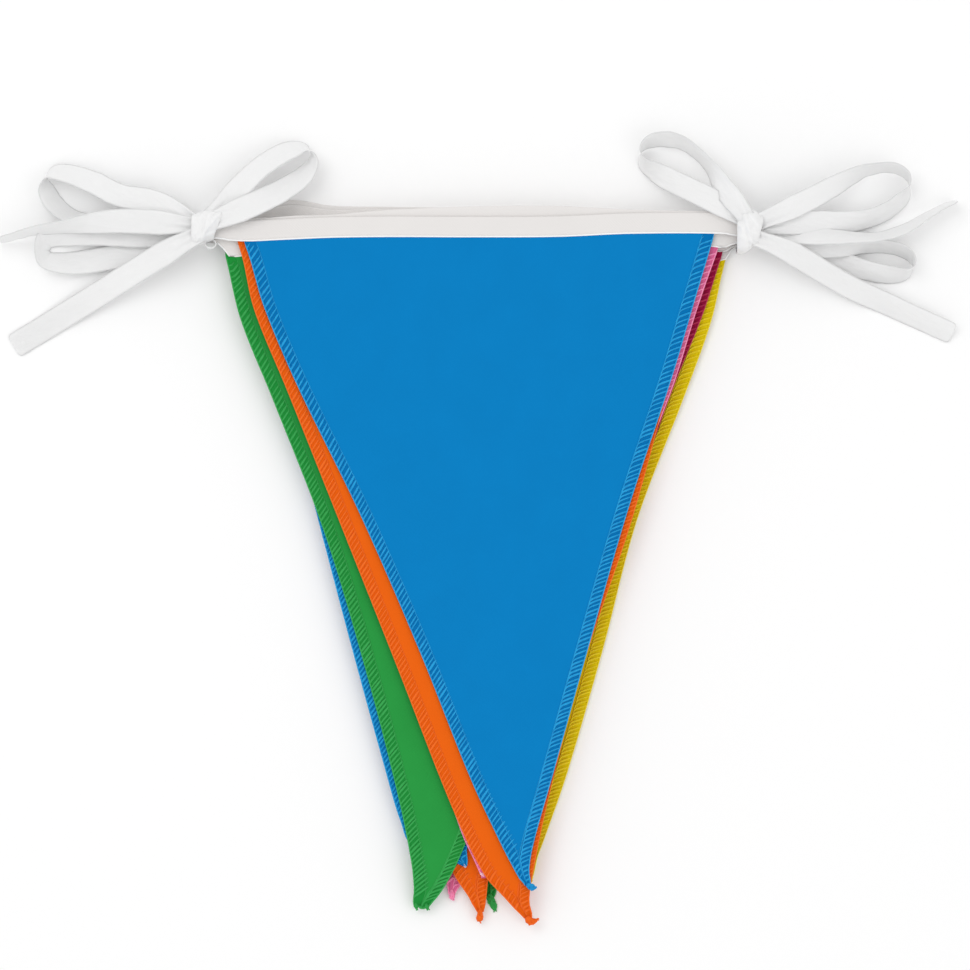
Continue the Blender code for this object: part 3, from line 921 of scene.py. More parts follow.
    def build_cloth(self) -> Object:
        """Make the pennant's cloth.

        Returns:
            The cloth, dressed.
        """
        downs = [-self.tuck / self.length * (1 - k / 3) for k in range(3)]
        downs += [self.neck_down * k / self.rows for k in range(self.rows + 1)]
        rows, marks, shades = [], [], []
        for down in downs:
            edge = min(self.hem / self.width(down), self.band_most)
            inner = edge * self.shaded
            band = [edge * k / self.band_columns for k in range(self.band_columns + 1)]
            face = [inner + (1 - 2 * inner) * k / self.columns for k in range(self.columns + 1)]
            steps = band + face + [1 - step for step in reversed(band)]
            row = [self.point(step, Side.LEFT, down) for step in steps]
            rows.append(row)
            marks.append([(p.x, p.y) for p in row])
            shades.append([1.0] * len(band) + [0.0] * len(face) + [1.0] * len(band))
        sewing = Sewing()
        sewing.sheet(rows, marks, shades=shades)
        piece = sewing.make(f"cloth_{self.label}", DYES[self.dye].cloth(), thickness=self.cloth)
        outline = [self.point(0.0, Side.LEFT, down) for down in downs]
        outline += [self.point(0.0, Side.RIGHT, down) for down in reversed(downs)]
        corners = zip(outline, outline[1:] + outline[:1])
        area = abs(sum(a.x * b.y - b.x * a.y for a, b in corners)) / 2
        rests = [f"cloth_{PENNANTS[self.number].label}"] if self.number < STACK.layers else []
        return dress(piece, f"pennant_{self.label}")

    def stitch_places(self, side: Side, down: float) -> list[Vector]:
        """One overlock stitch, from the needle line round the cloth's edge to its underside.

        Args:
            side: which side it is on.
            down: share of the way down where the stitch meets the edge.

        Returns:
            The places that the thread runs through.
        """
        wide = self.width(down)
        inner = min(self.hem, self.hem_most * wide)
        share = inner / self.hem / self.length
        over = self.cloth / 2 + self.proud
        places = []
        for loop in OVERLOCKS[side].stitch:
            at = min(down + loop.down * share, 1.0)
            if at > 0.003:      # what is higher up lies under the tape
                offset = max(loop.reach * inner, -0.1) / wide
                places.append(self.point(offset, side, at, over * loop.lift))
        return places

    def add_overlock(self, sewing: Sewing, side: Side, chance: random.Random) -> None:
        """Add one side's overlocking: its stitches, its needle thread and the thread at its edge.

        Args:
            sewing: what the threads are added to.
            side: which side.
            chance: where the small differences between stitches come from.
        """
        overlock = OVERLOCKS[side]
        needle, edge, down, length = [], [], 0.0, self.length
        while down < self.neck_down:
            wide = self.width(down)
            off = chance.uniform(-self.uneven, self.uneven)
            places = self.stitch_places(side, down + off / length)
            if len(places) > 4 and down < self.neck_down - self.bare / length:
                thick = overlock.looper * chance.uniform(0.7, 1.15)
                shares = [loop.thick for loop in overlock.stitch][-len(places):]
                sewing.thread(places, [thick * share for share in shares], ends=0.4, flat=0.36)
            inner = min(self.hem, self.hem_most * wide)
            needle.append(self.point(inner / wide, side, down, self.cloth / 2 + 0.05))
            edge.append(self.point(-0.05 / wide, side, down))
            closer = self.closer * smooth_step(down * length / self.closing)
            down += self.stitch * (1.08 - closer) / length
        edge.append(self.point(-0.05, side, self.neck_down))
        sewing.thread(needle, overlock.needle, sides=4, flat=0.6)
        sewing.thread(edge, self.edging, sides=6)

    def add_knobs(self, sewing: Sewing, chance: random.Random) -> None:
        """Add the bundles of thread that the tip is gathered into.

        Args:
            sewing: what the threads are added to.
            chance: where the small differences between strands come from.
        """
        height = STACK.middle_z(self.index, self.tip_x)
        for knob in self.knobs:
            spots = []
            for first, second in zip(knob, knob[1:]):
                spots += [[a + (b - a) * k / BUNDLE.steps for a, b in zip(first, second)]
                          for k in range(BUNDLE.steps)]
            spots.append(list(knob[-1]))
            middles = [Vector((x, y, height - self.sunk(y))) for x, y, _ in spots]
            BUNDLE.add(sewing, middles, [half for _, _, half in spots], self.pale, chance)

    def build_overlock(self) -> Object:
        """Make the overlocking along both sides and the knob of thread at the tip.

        Returns:
            The threads, as one piece, dressed.
        """
        sewing = Sewing()
        chance = random.Random(self.number)
        for side in Side:
            self.add_overlock(sewing, side, chance)
        self.add_knobs(sewing, chance)
        piece = sewing.make(f"overlock_{self.label}", DYES[self.dye].sewing_thread())
        return dress(piece, f"pennant_{self.label}")


PENNANTS = (
    Pennant(1, Dye.BLUE, -98.7, 100.9, 21.6, -153.4, 0.9,
        rise=(-1.4, -0.3, 0.5, 0.8, 0.7, 0.9, 2.2, 2.1),
        bulge_left=(3.4, 3.8, 0.85, 0.75, 2.6, 1.75, 0.85),
        bulge_right=(-0.4, -0.9, -3.7, -4.1, -4.0, -4.0, -2.75),
        knobs=((Spot(21.5, -151.2, 1.1), Spot(22.3, -152.4, 1.25), Spot(23.6, -152.9, 1.5),
                Spot(24.9, -153.2, 1.4)),), neck_x=21.7, neck_y=-152.2, neck_half=1.0),
    Pennant(2, Dye.ORANGE, -101.6, 98.5, 21.9, -167.6, 1.5,
        rise=(-1.4, 1.0, 1.6, 3.6, 5.2, 5.3, 3.8, 2.7),
        bulge_left=(4.9, 5.4, 6.7, 8.2, 9.95, 8.4, 3.1),
        bulge_right=(0.1, -0.3, -1.4, -6.3, -6.45, -5.0, -3.5),
        knobs=((Spot(21.9, -165.6, 1.5), Spot(22.2, -167.1, 1.7), Spot(23.0, -168.2, 1.6),
                Spot(24.5, -167.9, 1.4), Spot(26.2, -167.0, 0.8)),),
        neck_x=21.9, neck_y=-166.6, neck_half=1.5, droop=4.6, droop_from=-157.0),
    Pennant(3, Dye.PINK, -91.3, 102.8, 3.6, -149.9, 0.8,
        rise=(-0.5, -0.2, 0.8, 1.5, 2.0, 2.4, 2.0, -3.8),
        bulge_left=(1.3, 1.7, 1.7, 1.7, 1.8, 1.9, 0.6),
        bulge_right=(0.4, 2.1, 0.4, -1.7, -1.7, -0.9, -0.4),
        knobs=((Spot(1.4, -146.8, 0.5), Spot(2.3, -147.5, 0.75), Spot(3.4, -148.6, 0.6)),),
        neck_x=3.2, neck_y=-149.2, neck_half=0.9, pale=True),
    Pennant(4, Dye.GREEN, -107.0, 90.8, -23.4, -162.4, 3.2,
        rise=(-8.2, -1.6, -0.4, 1.0, 2.0, 2.0, 1.8, -2.0),
        bulge_left=(1.2, -2.6, -8.2, -9.0, -7.3, -4.8, -2.6),
        bulge_right=(0.0, 0.4, 0.9, 2.0, 4.3, 4.0, 2.3),
        knobs=((Spot(-25.8, -160.0, 0.8), Spot(-25.9, -161.8, 1.0), Spot(-25.2, -162.6, 0.8)),
               (Spot(-25.0, -161.6, 0.7), Spot(-23.4, -162.2, 0.9), Spot(-21.8, -162.0, 0.8)),
               (Spot(-21.6, -160.4, 0.8), Spot(-21.2, -162.0, 1.0), Spot(-20.7, -162.8, 0.7))),
        neck_x=-23.5, neck_y=-162.0, neck_half=3.0, droop=4.2, droop_from=-148.0),
    Pennant(5, Dye.BLUE, -96.4, 95.1, -5.0, -144.7, 0.6,
        rise=(-2.0, 0.4, 0.9, 1.6, 2.4, 2.6, 2.4, 0.8),
        bulge_left=(3.4, 6.0, 10.6, 15.0, 18.6, 19.8, 17.5),
        bulge_right=(0.0, 0.0, -0.6, -1.3, -1.7, -3.4, -3.0),
        knobs=((Spot(-5.7, -143.4, 0.45), Spot(-5.0, -144.2, 0.6), Spot(-4.5, -144.9, 0.5)),),
        neck_x=-4.9, neck_y=-144.4, neck_half=0.6, pale=True),
    Pennant(6, Dye.ORANGE, -94.3, 97.7, 1.6, -166.8, 0.9,
        rise=(-0.5, 0.6, 1.2, 2.4, 3.4, 3.6, 3.0, 1.2),
        bulge_left=(0.9, 1.1, 1.6, 2.1, 3.6, 4.1, 0.6),
        bulge_right=(0.0, 0.0, -0.7, -1.4, -3.0, -3.8, -1.6),
        knobs=((Spot(1.6, -162.4, 1.0), Spot(1.55, -164.2, 1.05), Spot(1.45, -166.0, 1.45),
                Spot(1.3, -167.2, 1.7), Spot(1.6, -168.2, 1.7)),),
        neck_x=1.6, neck_y=-164.2, neck_half=1.05, droop=2.4, droop_from=-153.0),
    Pennant(7, Dye.MAGENTA, -88.7, 104.9, 10.0, -146.4, 0.8,
        rise=(0.0, 0.8, 1.3, 2.6, 3.4, 3.6, 2.6, -5.4),
        bulge_left=(0.4, 0.6, 0.6, 0.4, 0.3, 0.2, 0.0),
        bulge_right=(0.8, -0.6, -0.9, -1.7, -1.7, -1.3, -0.4),
        knobs=((Spot(10.0, -143.6, 1.0), Spot(10.2, -146.0, 1.1), Spot(10.4, -147.4, 0.8)),),
        neck_x=10.1, neck_y=-145.4, neck_half=1.0),
    Pennant(8, Dye.PINK, -93.8, 100.2, -10.4, -157.9, 0.9,
        rise=(0.5, 0.9, 1.4, 2.8, 4.0, 4.2, 3.4, 2.0),
        bulge_left=(0.6, 0.9, 0.9, 0.6, 0.2, -0.6, -0.8),
        bulge_right=(0.4, 0.4, 0.0, -0.4, 0.0, 0.3, 0.3),
        knobs=((Spot(-10.7, -154.6, 1.1), Spot(-10.6, -157.0, 1.4), Spot(-10.3, -158.8, 1.35)),),
        neck_x=-10.6, neck_y=-156.6, neck_half=1.3, droop=1.0, droop_from=-148.0),
    Pennant(9, Dye.YELLOW, -91.3, 106.2, 23.0, -149.8, 0.9,
        rise=(1.0, 6.2, 4.2, 4.6, 4.6, 4.0, 2.6, -9.2),
        bulge_left=(0.4, 0.6, 0.9, 0.6, 0.3, 0.2, 0.0),
        bulge_right=(1.9, 0.4, -3.3, -0.7, 0.5, -0.4, -0.9),
        knobs=((Spot(22.9, -147.0, 1.0), Spot(23.1, -149.6, 1.1), Spot(23.4, -150.8, 0.8)),),
        neck_x=23.1, neck_y=-148.8, neck_half=1.0),
    Pennant(10, Dye.GREEN, -93.0, 96.8, 8.1, -162.6, 1.0,
        rise=(2.4, 8.4, 6.1, 5.6, 5.2, 5.2, 3.9, 2.8),
        bulge_left=(0.4, 0.9, 1.3, 0.9, 0.4, 0.2, 0.4),
        bulge_right=(0.0, -0.4, -0.9, -0.9, -0.4, -1.6, -3.4),
        knobs=((Spot(5.5, -156.4, 1.6), Spot(5.8, -159.0, 1.7), Spot(7.2, -161.4, 1.6),
                Spot(8.0, -163.8, 1.3)),), neck_x=5.5, neck_y=-158.0, neck_half=1.9),
)


# --- the heading ----------------------------------------------------------------------------------
@dataclass(frozen=True)
class HeadingTape:
    """The heading: one tape, folded lengthwise over the pennants' tops and into layers.

    Attributes:
        leaf: distance from the tape's front leaf to its back one.
        cloth: thickness of the tape.
        step: distance between the places along it.
        short: how far before the end of a fold its straight part ends.
        turn_steps: places round one of its folds.
        widening: over what length past a knot the tape is as wide as ever again.
        cord_radius, cord_in, cord_out: radius of the thick selvage along its lower edge, and how
            far in from the edge and out of the leaf it lies.
    """
    leaf: float = 0.62
    cloth: float = 0.22
    step: float = 2.5
    short: float = 1.5
    turn_steps: int = 8
    widening: float = 16.0
    cord_radius: float = 0.34
    cord_in: float = 0.2
    cord_out: float = 0.06

    def path(self) -> list[tuple[Vector, Vector]]:
        """The middle of the tape from its front end to its back one.

        Returns:
            Each place and the direction that the tape faces there.
        """
        low = LEFT_KNOT.x - LEFT_KNOT.folds_past + self.short
        high = RIGHT_KNOT.x + RIGHT_KNOT.folds_past - self.short
        count = int((high - low) / self.step)
        run: list[tuple[Vector, Vector]] = []
        for layer, pennant in enumerate(PENNANTS):
            along = [low + (high - low) * k / count for k in range(count + 1)]
            facing = 1
            if layer % 2:
                along.reverse()
                facing = -1
            for x in along:
                place = Vector((x, STACK.tape_y(pennant.rise, x), STACK.middle_z(layer, x)))
                run.append((place, UP * facing))
            if layer < STACK.layers - 1:
                run += self.turn(layer, along[-1], facing)
        return run

    def turn(self, layer: int, x: float, facing: int) -> list[tuple[Vector, Vector]]:
        """One fold of the tape, from a layer to the next.

        Args:
            layer: the upper layer.
            x: where its straight part ends.
            facing: 1 if the tape's front faces up in the upper layer, which then ends towards
                +X, or -1.

        Returns:
            The places round the fold, and the direction that the tape faces there.
        """
        first = STACK.tape_y(PENNANTS[layer].rise, x)
        second = STACK.tape_y(PENNANTS[layer + 1].rise, x)
        z = STACK.middle_z(layer, x) - STACK.pitch / 2
        places = []
        for k in range(1, self.turn_steps):
            angle = math.pi * k / self.turn_steps
            share = k / self.turn_steps
            out = Vector((facing * math.sin(angle), 0.0, math.cos(angle)))
            centre = Vector((x, first + (second - first) * share, z))
            places.append((centre + out * STACK.pitch / 2, out * facing))
        return places

    def profile(self) -> list[tuple[float, float]]:
        """The tape's cross-section.

        Returns:
            How far above its middle, and how far in front of it, each point lies.
        """
        half, leaf = STACK.tape_width / 2, self.leaf / 2
        front = [(-half + (2 * half - leaf) * k / 5, leaf) for k in range(6)]
        over = [(half - leaf + leaf * math.sin(angle), leaf * math.cos(angle))
                for angle in (0.5, 1.1, 1.57, 2.1, 2.7)]
        back = [(y, -leaf) for y, _ in reversed(front)]
        return front + over + back

    def tied(self, x: float) -> float:
        """How wide the tape is at this X, as a share of its width away from the knots."""
        knot = LEFT_KNOT if x < 0 else RIGHT_KNOT
        past = (abs(x - knot.x) - knot.half_x) / self.widening
        return 1.0 - knot.squeeze * smooth_step(1.0 - past)

    def build_tape(self) -> Object:
        """Make the folded tape.

        Returns:
            The tape, dressed.
        """
        profile, across = self.profile(), [0.0]
        for a, b in zip(profile, profile[1:]):
            across.append(across[-1] + math.dist(a, b))
        rows, marks, length, before = [], [], 0.0, None
        for place, facing in self.path():
            length += (place - before).length if before else 0.0
            before, tied = place, self.tied(place.x)
            rows.append([place + Vector((0.0, y * tied, 0.0)) + facing * out for y, out in profile])
            marks.append([(length, v) for v in across])
        sewing = Sewing()
        sewing.sheet(rows, marks)
        piece = sewing.make(TAPE_PIECE, TAPE_FINISH.material(), thickness=self.cloth)
        [f"cloth_{p.label}" for p in PENNANTS]
        return dress(piece, "heading_tape")

    def build_selvage(self) -> Object:
        """Make the thick selvage along the tape's lower edge, on both its leaves.

        Returns:
            The selvage, dressed.
        """
        sewing = Sewing()
        for leaf in (-1, 1):
            path = []
            for place, facing in self.path():
                edge = (self.cord_in - STACK.tape_width / 2) * self.tied(place.x)
                out = facing * leaf * (self.leaf / 2 + self.cord_out)
                path.append(place + Vector((0.0, edge, 0.0)) + out)
            sewing.thread(path, self.cord_radius, sides=6)
        piece = sewing.make("heading_tape_selvage", EDGE_FINISH.material())
        return dress(piece, "heading_tape")


# --- ties -----------------------------------------------------------------------------------------
class Bend(NamedTuple):
    """A place that a ribbon runs through, from its knot's middle.

    Attributes:
        x, y, z: the place, z being its height over the table.
        lean: how far the ribbon is turned about its own run, in degrees: 0 and 180 lie flat, and
            90 stands on edge.
    """
    x: float
    y: float
    z: float
    lean: float


LEFT_RIBBONS = {
    "outer_loop": (
        Bend(-3.0, 0.9, 13.6, 2), Bend(-12.8, 6.8, 13.2, 8), Bend(-23.4, 11.5, 12.0, 16),
        Bend(-36.2, 13.8, 10.5, 20), Bend(-48.1, 19.6, 9.0, 25), Bend(-57.4, 23.0, 7.8, 38),
        Bend(-64.3, 24.0, 6.8, 52), Bend(-68.5, 21.9, 6.4, 84), Bend(-68.3, 17.0, 5.6, 126),
        Bend(-65.3, 11.2, 4.8, 136), Bend(-58.3, 5.4, 4.6, 132), Bend(-48.9, 2.2, 5.6, 142),
        Bend(-36.2, 3.0, 7.4, 166), Bend(-23.4, 2.6, 10.0, 175), Bend(-10.6, 0.9, 11.5, 179),
        Bend(-3.0, 0.0, 12.0, 180)),
    "lower_loop": (
        Bend(-3.0, -0.9, 10.4, 1), Bend(-14.9, -2.4, 9.3, 2), Bend(-27.7, -2.9, 7.4, -2),
        Bend(-44.7, -2.0, 5.0, -8), Bend(-61.2, -2.5, 4.0, -22), Bend(-68.4, -4.6, 4.1, -42),
        Bend(-70.2, -9.2, 4.9, -59), Bend(-68.5, -13.2, 4.3, -46), Bend(-62.2, -14.6, 3.1, -32),
        Bend(-53.2, -14.2, 2.2, -16), Bend(-42.6, -12.5, 2.6, -8), Bend(-31.9, -10.4, 4.4, -4),
        Bend(-19.1, -6.8, 6.9, 0), Bend(-3.0, -1.7, 8.4, 0)),
    "inner_loop": (
        Bend(-1.6, 1.6, 14.6, 178), Bend(7.4, 8.7, 14.9, 172), Bend(14.5, 16.8, 14.2, 160),
        Bend(22.1, 24.5, 13.0, 152), Bend(30.2, 30.4, 10.5, 148), Bend(37.0, 33.6, 8.8, 138),
        Bend(42.1, 34.5, 8.0, 112), Bend(45.0, 32.1, 7.6, 84), Bend(45.1, 27.7, 8.0, 56),
        Bend(40.8, 21.7, 9.6, 36), Bend(32.3, 15.7, 13.0, 22), Bend(24.3, 11.5, 16.0, 12),
        Bend(14.9, 7.2, 17.6, 5), Bend(-1.6, 0.4, 16.8, 0)),
    "twisted_tail": (
        Bend(-3.0, 0.4, 15.2, 0), Bend(-12.8, 1.5, 15.0, -3), Bend(-23.4, 2.4, 14.5, -8),
        Bend(-36.2, 2.7, 13.6, -18), Bend(-48.9, 1.8, 12.2, -38), Bend(-59.6, 0.4, 11.6, -60),
        Bend(-72.3, -1.1, 10.6, -72), Bend(-83.0, -3.8, 7.6, -78), Bend(-89.4, -5.3, 5.5, -80)),
    "flat_tail": (
        Bend(-1.5, -2.6, 16.9, 0), Bend(-12.8, -8.6, 15.6, 3), Bend(-23.4, -14.6, 12.4, 6),
        Bend(-33.2, -20.4, 8.8, 5), Bend(-46.8, -28.5, 4.2, 3), Bend(-60.8, -36.9, 1.3, 0),
        Bend(-71.5, -43.5, 0.55, 0), Bend(-82.7, -50.2, 0.55, 0)),
}

RIGHT_RIBBONS = {
    "inner_loop": (
        Bend(1.2, 0.6, 17.0, 179), Bend(-5.1, 9.4, 18.4, 174), Bend(-11.9, 18.3, 17.2, 146),
        Bend(-16.6, 26.0, 14.0, 118), Bend(-22.1, 32.3, 11.5, 113), Bend(-28.1, 37.0, 9.5, 118),
        Bend(-34.5, 38.9, 8.0, 127), Bend(-40.2, 38.6, 7.0, 124), Bend(-44.6, 36.4, 6.4, 112),
        Bend(-46.4, 32.6, 6.2, 88), Bend(-44.9, 28.6, 6.2, 62), Bend(-41.9, 26.3, 6.5, 46),
        Bend(-36.2, 22.8, 7.6, 22), Bend(-27.2, 18.1, 11.6, 10), Bend(-18.3, 13.6, 15.0, 4),
        Bend(-9.8, 8.9, 16.2, 1), Bend(1.2, 2.2, 15.6, 0)),
    "outer_loop": (
        Bend(1.8, 2.6, 15.2, 2), Bend(14.9, 8.1, 14.6, 8), Bend(25.5, 13.2, 13.2, 18),
        Bend(35.7, 18.7, 11.0, 30), Bend(47.7, 24.9, 9.0, 58), Bend(55.7, 26.8, 7.8, 67),
        Bend(62.5, 26.5, 7.0, 68), Bend(67.0, 23.8, 6.4, 76), Bend(68.5, 19.6, 6.2, 92),
        Bend(66.4, 14.7, 6.0, 122), Bend(59.1, 8.7, 5.2, 135), Bend(51.3, 5.3, 5.0, 142),
        Bend(40.8, 3.6, 6.5, 160), Bend(26.4, 3.4, 10.2, 173), Bend(14.9, 2.6, 12.7, 178),
        Bend(1.8, 1.3, 13.6, 180)),
    "lower_loop": (
        Bend(1.8, -1.3, 10.6, 1), Bend(14.9, -4.7, 10.0, 4), Bend(27.7, -6.8, 9.0, 6),
        Bend(40.4, -6.8, 7.6, 28), Bend(53.2, -6.4, 5.6, 56), Bend(62.5, -7.4, 5.4, 60),
        Bend(68.5, -10.4, 5.4, 68), Bend(70.2, -14.7, 5.6, 88), Bend(66.9, -18.2, 5.2, 116),
        Bend(59.6, -18.5, 4.1, 138), Bend(50.2, -16.8, 3.6, 146), Bend(40.4, -14.0, 3.2, 162),
        Bend(27.7, -9.8, 4.6, 172), Bend(14.9, -5.5, 6.6, 177), Bend(1.8, -2.1, 8.0, 179)),
    "twisted_tail": (
        Bend(1.8, 0.0, 12.0, 0), Bend(14.9, -0.4, 11.1, -6), Bend(27.7, -2.1, 10.7, -33),
        Bend(42.6, -3.0, 10.9, -56), Bend(55.3, -2.6, 10.2, -65), Bend(64.7, 0.0, 9.2, -63),
        Bend(72.8, 4.5, 7.8, -70), Bend(81.3, 9.6, 6.3, -75), Bend(88.3, 12.8, 5.5, -80)),
    "flat_tail": (
        Bend(1.5, -3.2, 16.9, 0), Bend(14.9, -8.5, 15.2, -2), Bend(23.4, -13.0, 12.2, 4),
        Bend(33.6, -18.9, 8.3, 16), Bend(44.7, -24.8, 4.8, 16), Bend(57.4, -30.3, 2.4, 22),
        Bend(70.2, -36.2, 2.4, 26), Bend(87.2, -43.8, 2.4, 27)),
}


@dataclass(frozen=True)
class Curl:
    """The small curl where a ribbon's edge turns back on itself under its knot.

    Attributes:
        x, y: its middle, from the knot's middle.
        radius: of its outer end.
        closing: how much less its radius is at its inner end, as a share.
        stretch: its radius along X as a share of that along Y.
        start, sweep: where it starts and how far round it turns, in degrees.
        wide: width of the strip that is curled.
        foot: height of its lower edge.
        lean_x, lean_y: how far its upper edge leans.
        steps, ribs: places round it and across it.
    """
    x: float
    y: float
    radius: float
    closing: float = 0.25
    stretch: float = 1.25
    start: float = 130.0
    sweep: float = 285.0
    wide: float = 5.6
    foot: float = 9.0
    lean_x: float = 0.4
    lean_y: float = 0.48
    steps: int = 30
    ribs: int = 4

    def rows(self, knot: Knot) -> list[list[Vector]]:
        """The places across the strip, all the way round the curl.

        Args:
            knot: the knot that it lies under.

        Returns:
            The rows of places.
        """
        rows = []
        for k in range(self.steps + 1):
            angle = math.radians(self.start + self.sweep * k / self.steps)
            size = self.radius * (1.0 - self.closing * k / self.steps)
            centre = Vector((knot.x + self.x + self.stretch * size * math.cos(angle),
                             knot.y + self.y + size * math.sin(angle), self.foot))
            rows.append([centre + Vector((self.lean_x, self.lean_y, self.wide)) * m / self.ribs
                         for m in range(self.ribs + 1)])
        return rows


@dataclass(frozen=True)
class Bow:
    """A ribbon tied round the folded tape: its knot, its loops and its tails.

    Attributes:
        name: which end it is on.
        knot: where its knot sits.
        ribbons: what each length of ribbon runs through.
        curl: the curl under the knot, if there is one.
        width, cloth: the ribbon's width and thickness.
        steps, ribs: places between two bends, and points across the ribbon.
        inside, gathered, pinched: how much of each ribbon's end lies in the knot, over what length
            past it the ribbon spreads out, and its width in the knot as a share of the whole.
        pleat: height of the pleats that it is gathered in.
        rounding: radius of the corners at a cut end.
        ripple, scallop: height of the small waves in the ribbon, and of those in its edge's line
            as a share of half its width.
        off_table: what its lowest edge keeps off the table.
        top, bottom: height of the top and the bottom of the wrap round the tape.
        wrap_cloth: thickness of the wrap's layers together.
        round_steps, wrap_ribs: places round the wrap and across it.
        square: how square the wrap's section is: 1 is round, and less is squarer.
        sloped: how much lower the wrap's top is at both its ends, as a share.
    """
    name: str
    knot: Knot
    ribbons: dict[str, tuple[Bend, ...]]
    curl: Curl | None = None
    width: float = 10.0
    cloth: float = 0.3
    steps: int = 9
    ribs: int = 13
    inside: float = 2.5
    gathered: float = 17.0
    pinched: float = 0.72
    pleat: float = 0.55
    rounding: float = 1.9
    ripple: float = 0.28
    scallop: float = 0.035
    off_table: float = 0.35
    top: float = 19.7
    bottom: float = 0.35
    wrap_cloth: float = 0.5
    round_steps: int = 72
    wrap_ribs: int = 25
    square: float = 2 / 3.0
    sloped: float = 0.2

    def run(self, bends: Sequence[Bend]) -> list[list[float]]:
        """Places and leans along the smooth curve through the bends.

        Args:
            bends: what the ribbon runs through.

        Returns:
            x, y, z and lean at each place.
        """
        spans = [math.dist(a[:3], b[:3]) for a, b in zip(bends, bends[1:])]
        slopes = []
        for i in range(len(bends)):
            before, after = max(i - 1, 0), min(i + 1, len(bends) - 1)
            length = sum(spans[before:after])
            slopes.append([(b - a) / length for a, b in zip(bends[before], bends[after])])
        places = []
        for i, span in enumerate(spans):
            last = i == len(spans) - 1
            steps = self.steps * 2 if last else self.steps
            for step in range(steps):
                t = step / steps
                if last:        # closer together towards the end, which is round where it is cut
                    t = 1.0 - (1.0 - t) ** 1.7
                parts = zip(bends[i], bends[i + 1], slopes[i], slopes[i + 1])
                places.append([hermite(*part, span, t) for part in parts])
        places.append(list(bends[-1]))
        return places

    def spread(self, passed: float, length: float, free: bool) -> tuple[float, float]:
        """How far the ribbon has spread out after its knot.

        Args:
            passed: how far along the ribbon.
            length: the ribbon's length.
            free: whether its far end is a cut one and not back in the knot.

        Returns:
            From 0 where it is gathered to 1 where it is flat, and its width as a share of all.
        """
        from_knot = passed if free else min(passed, length - passed)
        full = smooth_step((from_knot - self.inside) / self.gathered)
        size = self.pinched + (1 - self.pinched) * full
        if free:        # a cut end has rounded corners
            past = max(0.0, 1.0 - (length - passed) / self.rounding)
            size -= self.rounding / (self.width / 2) * (1.0 - math.sqrt(1.0 - past * past))
        return full, size

    def build_ribbon(self, label: str, bends: Sequence[Bend]) -> Object:
        """Make one length of ribbon.

        Args:
            label: which loop or tail it is.
            bends: what it runs through.

        Returns:
            The ribbon, dressed.
        """
        run = self.run(bends)
        places = [Vector((self.knot.x + x, self.knot.y + y, z)) for x, y, z, _ in run]
        passed = [0.0]
        for a, b in zip(places, places[1:]):
            passed.append(passed[-1] + (b - a).length)
        seed = sum(map(ord, self.name + label))
        ribs = from_side_to_side(self.ribs)
        rows, marks = [], []
        for i, (place, at) in enumerate(zip(places, passed)):
            along, lean = direction(places, i), math.radians(run[i][3])
            sideways = Vector((-along.y, along.x, 0.0)).normalized()
            width = sideways * math.cos(lean) + UP * math.sin(lean)
            width = (width - along * width.dot(along)).normalized() * self.width / 2
            thick = along.cross(width).normalized()
            middle = Vector((place.x, place.y, max(place.z, abs(width.z) + self.off_table)))
            full, size = self.spread(at, passed[-1], "tail" in label)
            row = []
            for u in ribs:
                ripple = self.ripple * noise.noise(Vector((at * 0.22, u * 1.3, seed)))
                scallop = noise.noise(Vector((at * 0.55, u * 9.0, seed + 5.0))) * abs(u) ** 3
                pleat = self.pleat * math.cos(u * 7.5 + 0.6) * (1 - full)
                row.append(middle + width * u * (size + self.scallop * scallop)
                           + thick * (pleat + ripple * (0.35 + 0.65 * abs(u))))
            rows.append(row)
            marks.append([(at, RIBBON_FINISH.width_mm * (u + 1) / 2) for u in ribs])
        sewing = Sewing()
        sewing.sheet(rows, marks)
        piece = sewing.make(f"ribbon_{self.name}_{label}", RIBBON_FINISH.material(),
                            thickness=self.cloth)
        return dress(piece, f"tie_{self.name}")

    def fold_height(self, x: float, y: float) -> float:
        """How high the creases over the knot stand.

        Args:
            x, y: the place, from the knot's middle.

        Returns:
            The height of its creases, each with a dip beside it, and of what is never quite even.
        """
        height = 0.15 * noise.noise(Vector((x * 0.5, y * 0.35, self.knot.x)))
        for fold in self.knot.folds:
            angle = math.radians(fold.turned)
            away = (y - fold.y) * math.cos(angle) - (x - fold.x) * math.sin(angle)
            ridge, dip = math.exp(-(away / 0.8) ** 2), math.exp(-((away - 1.3) / 0.7) ** 2)
            height += fold.height * (ridge - 0.7 * dip)
        return height

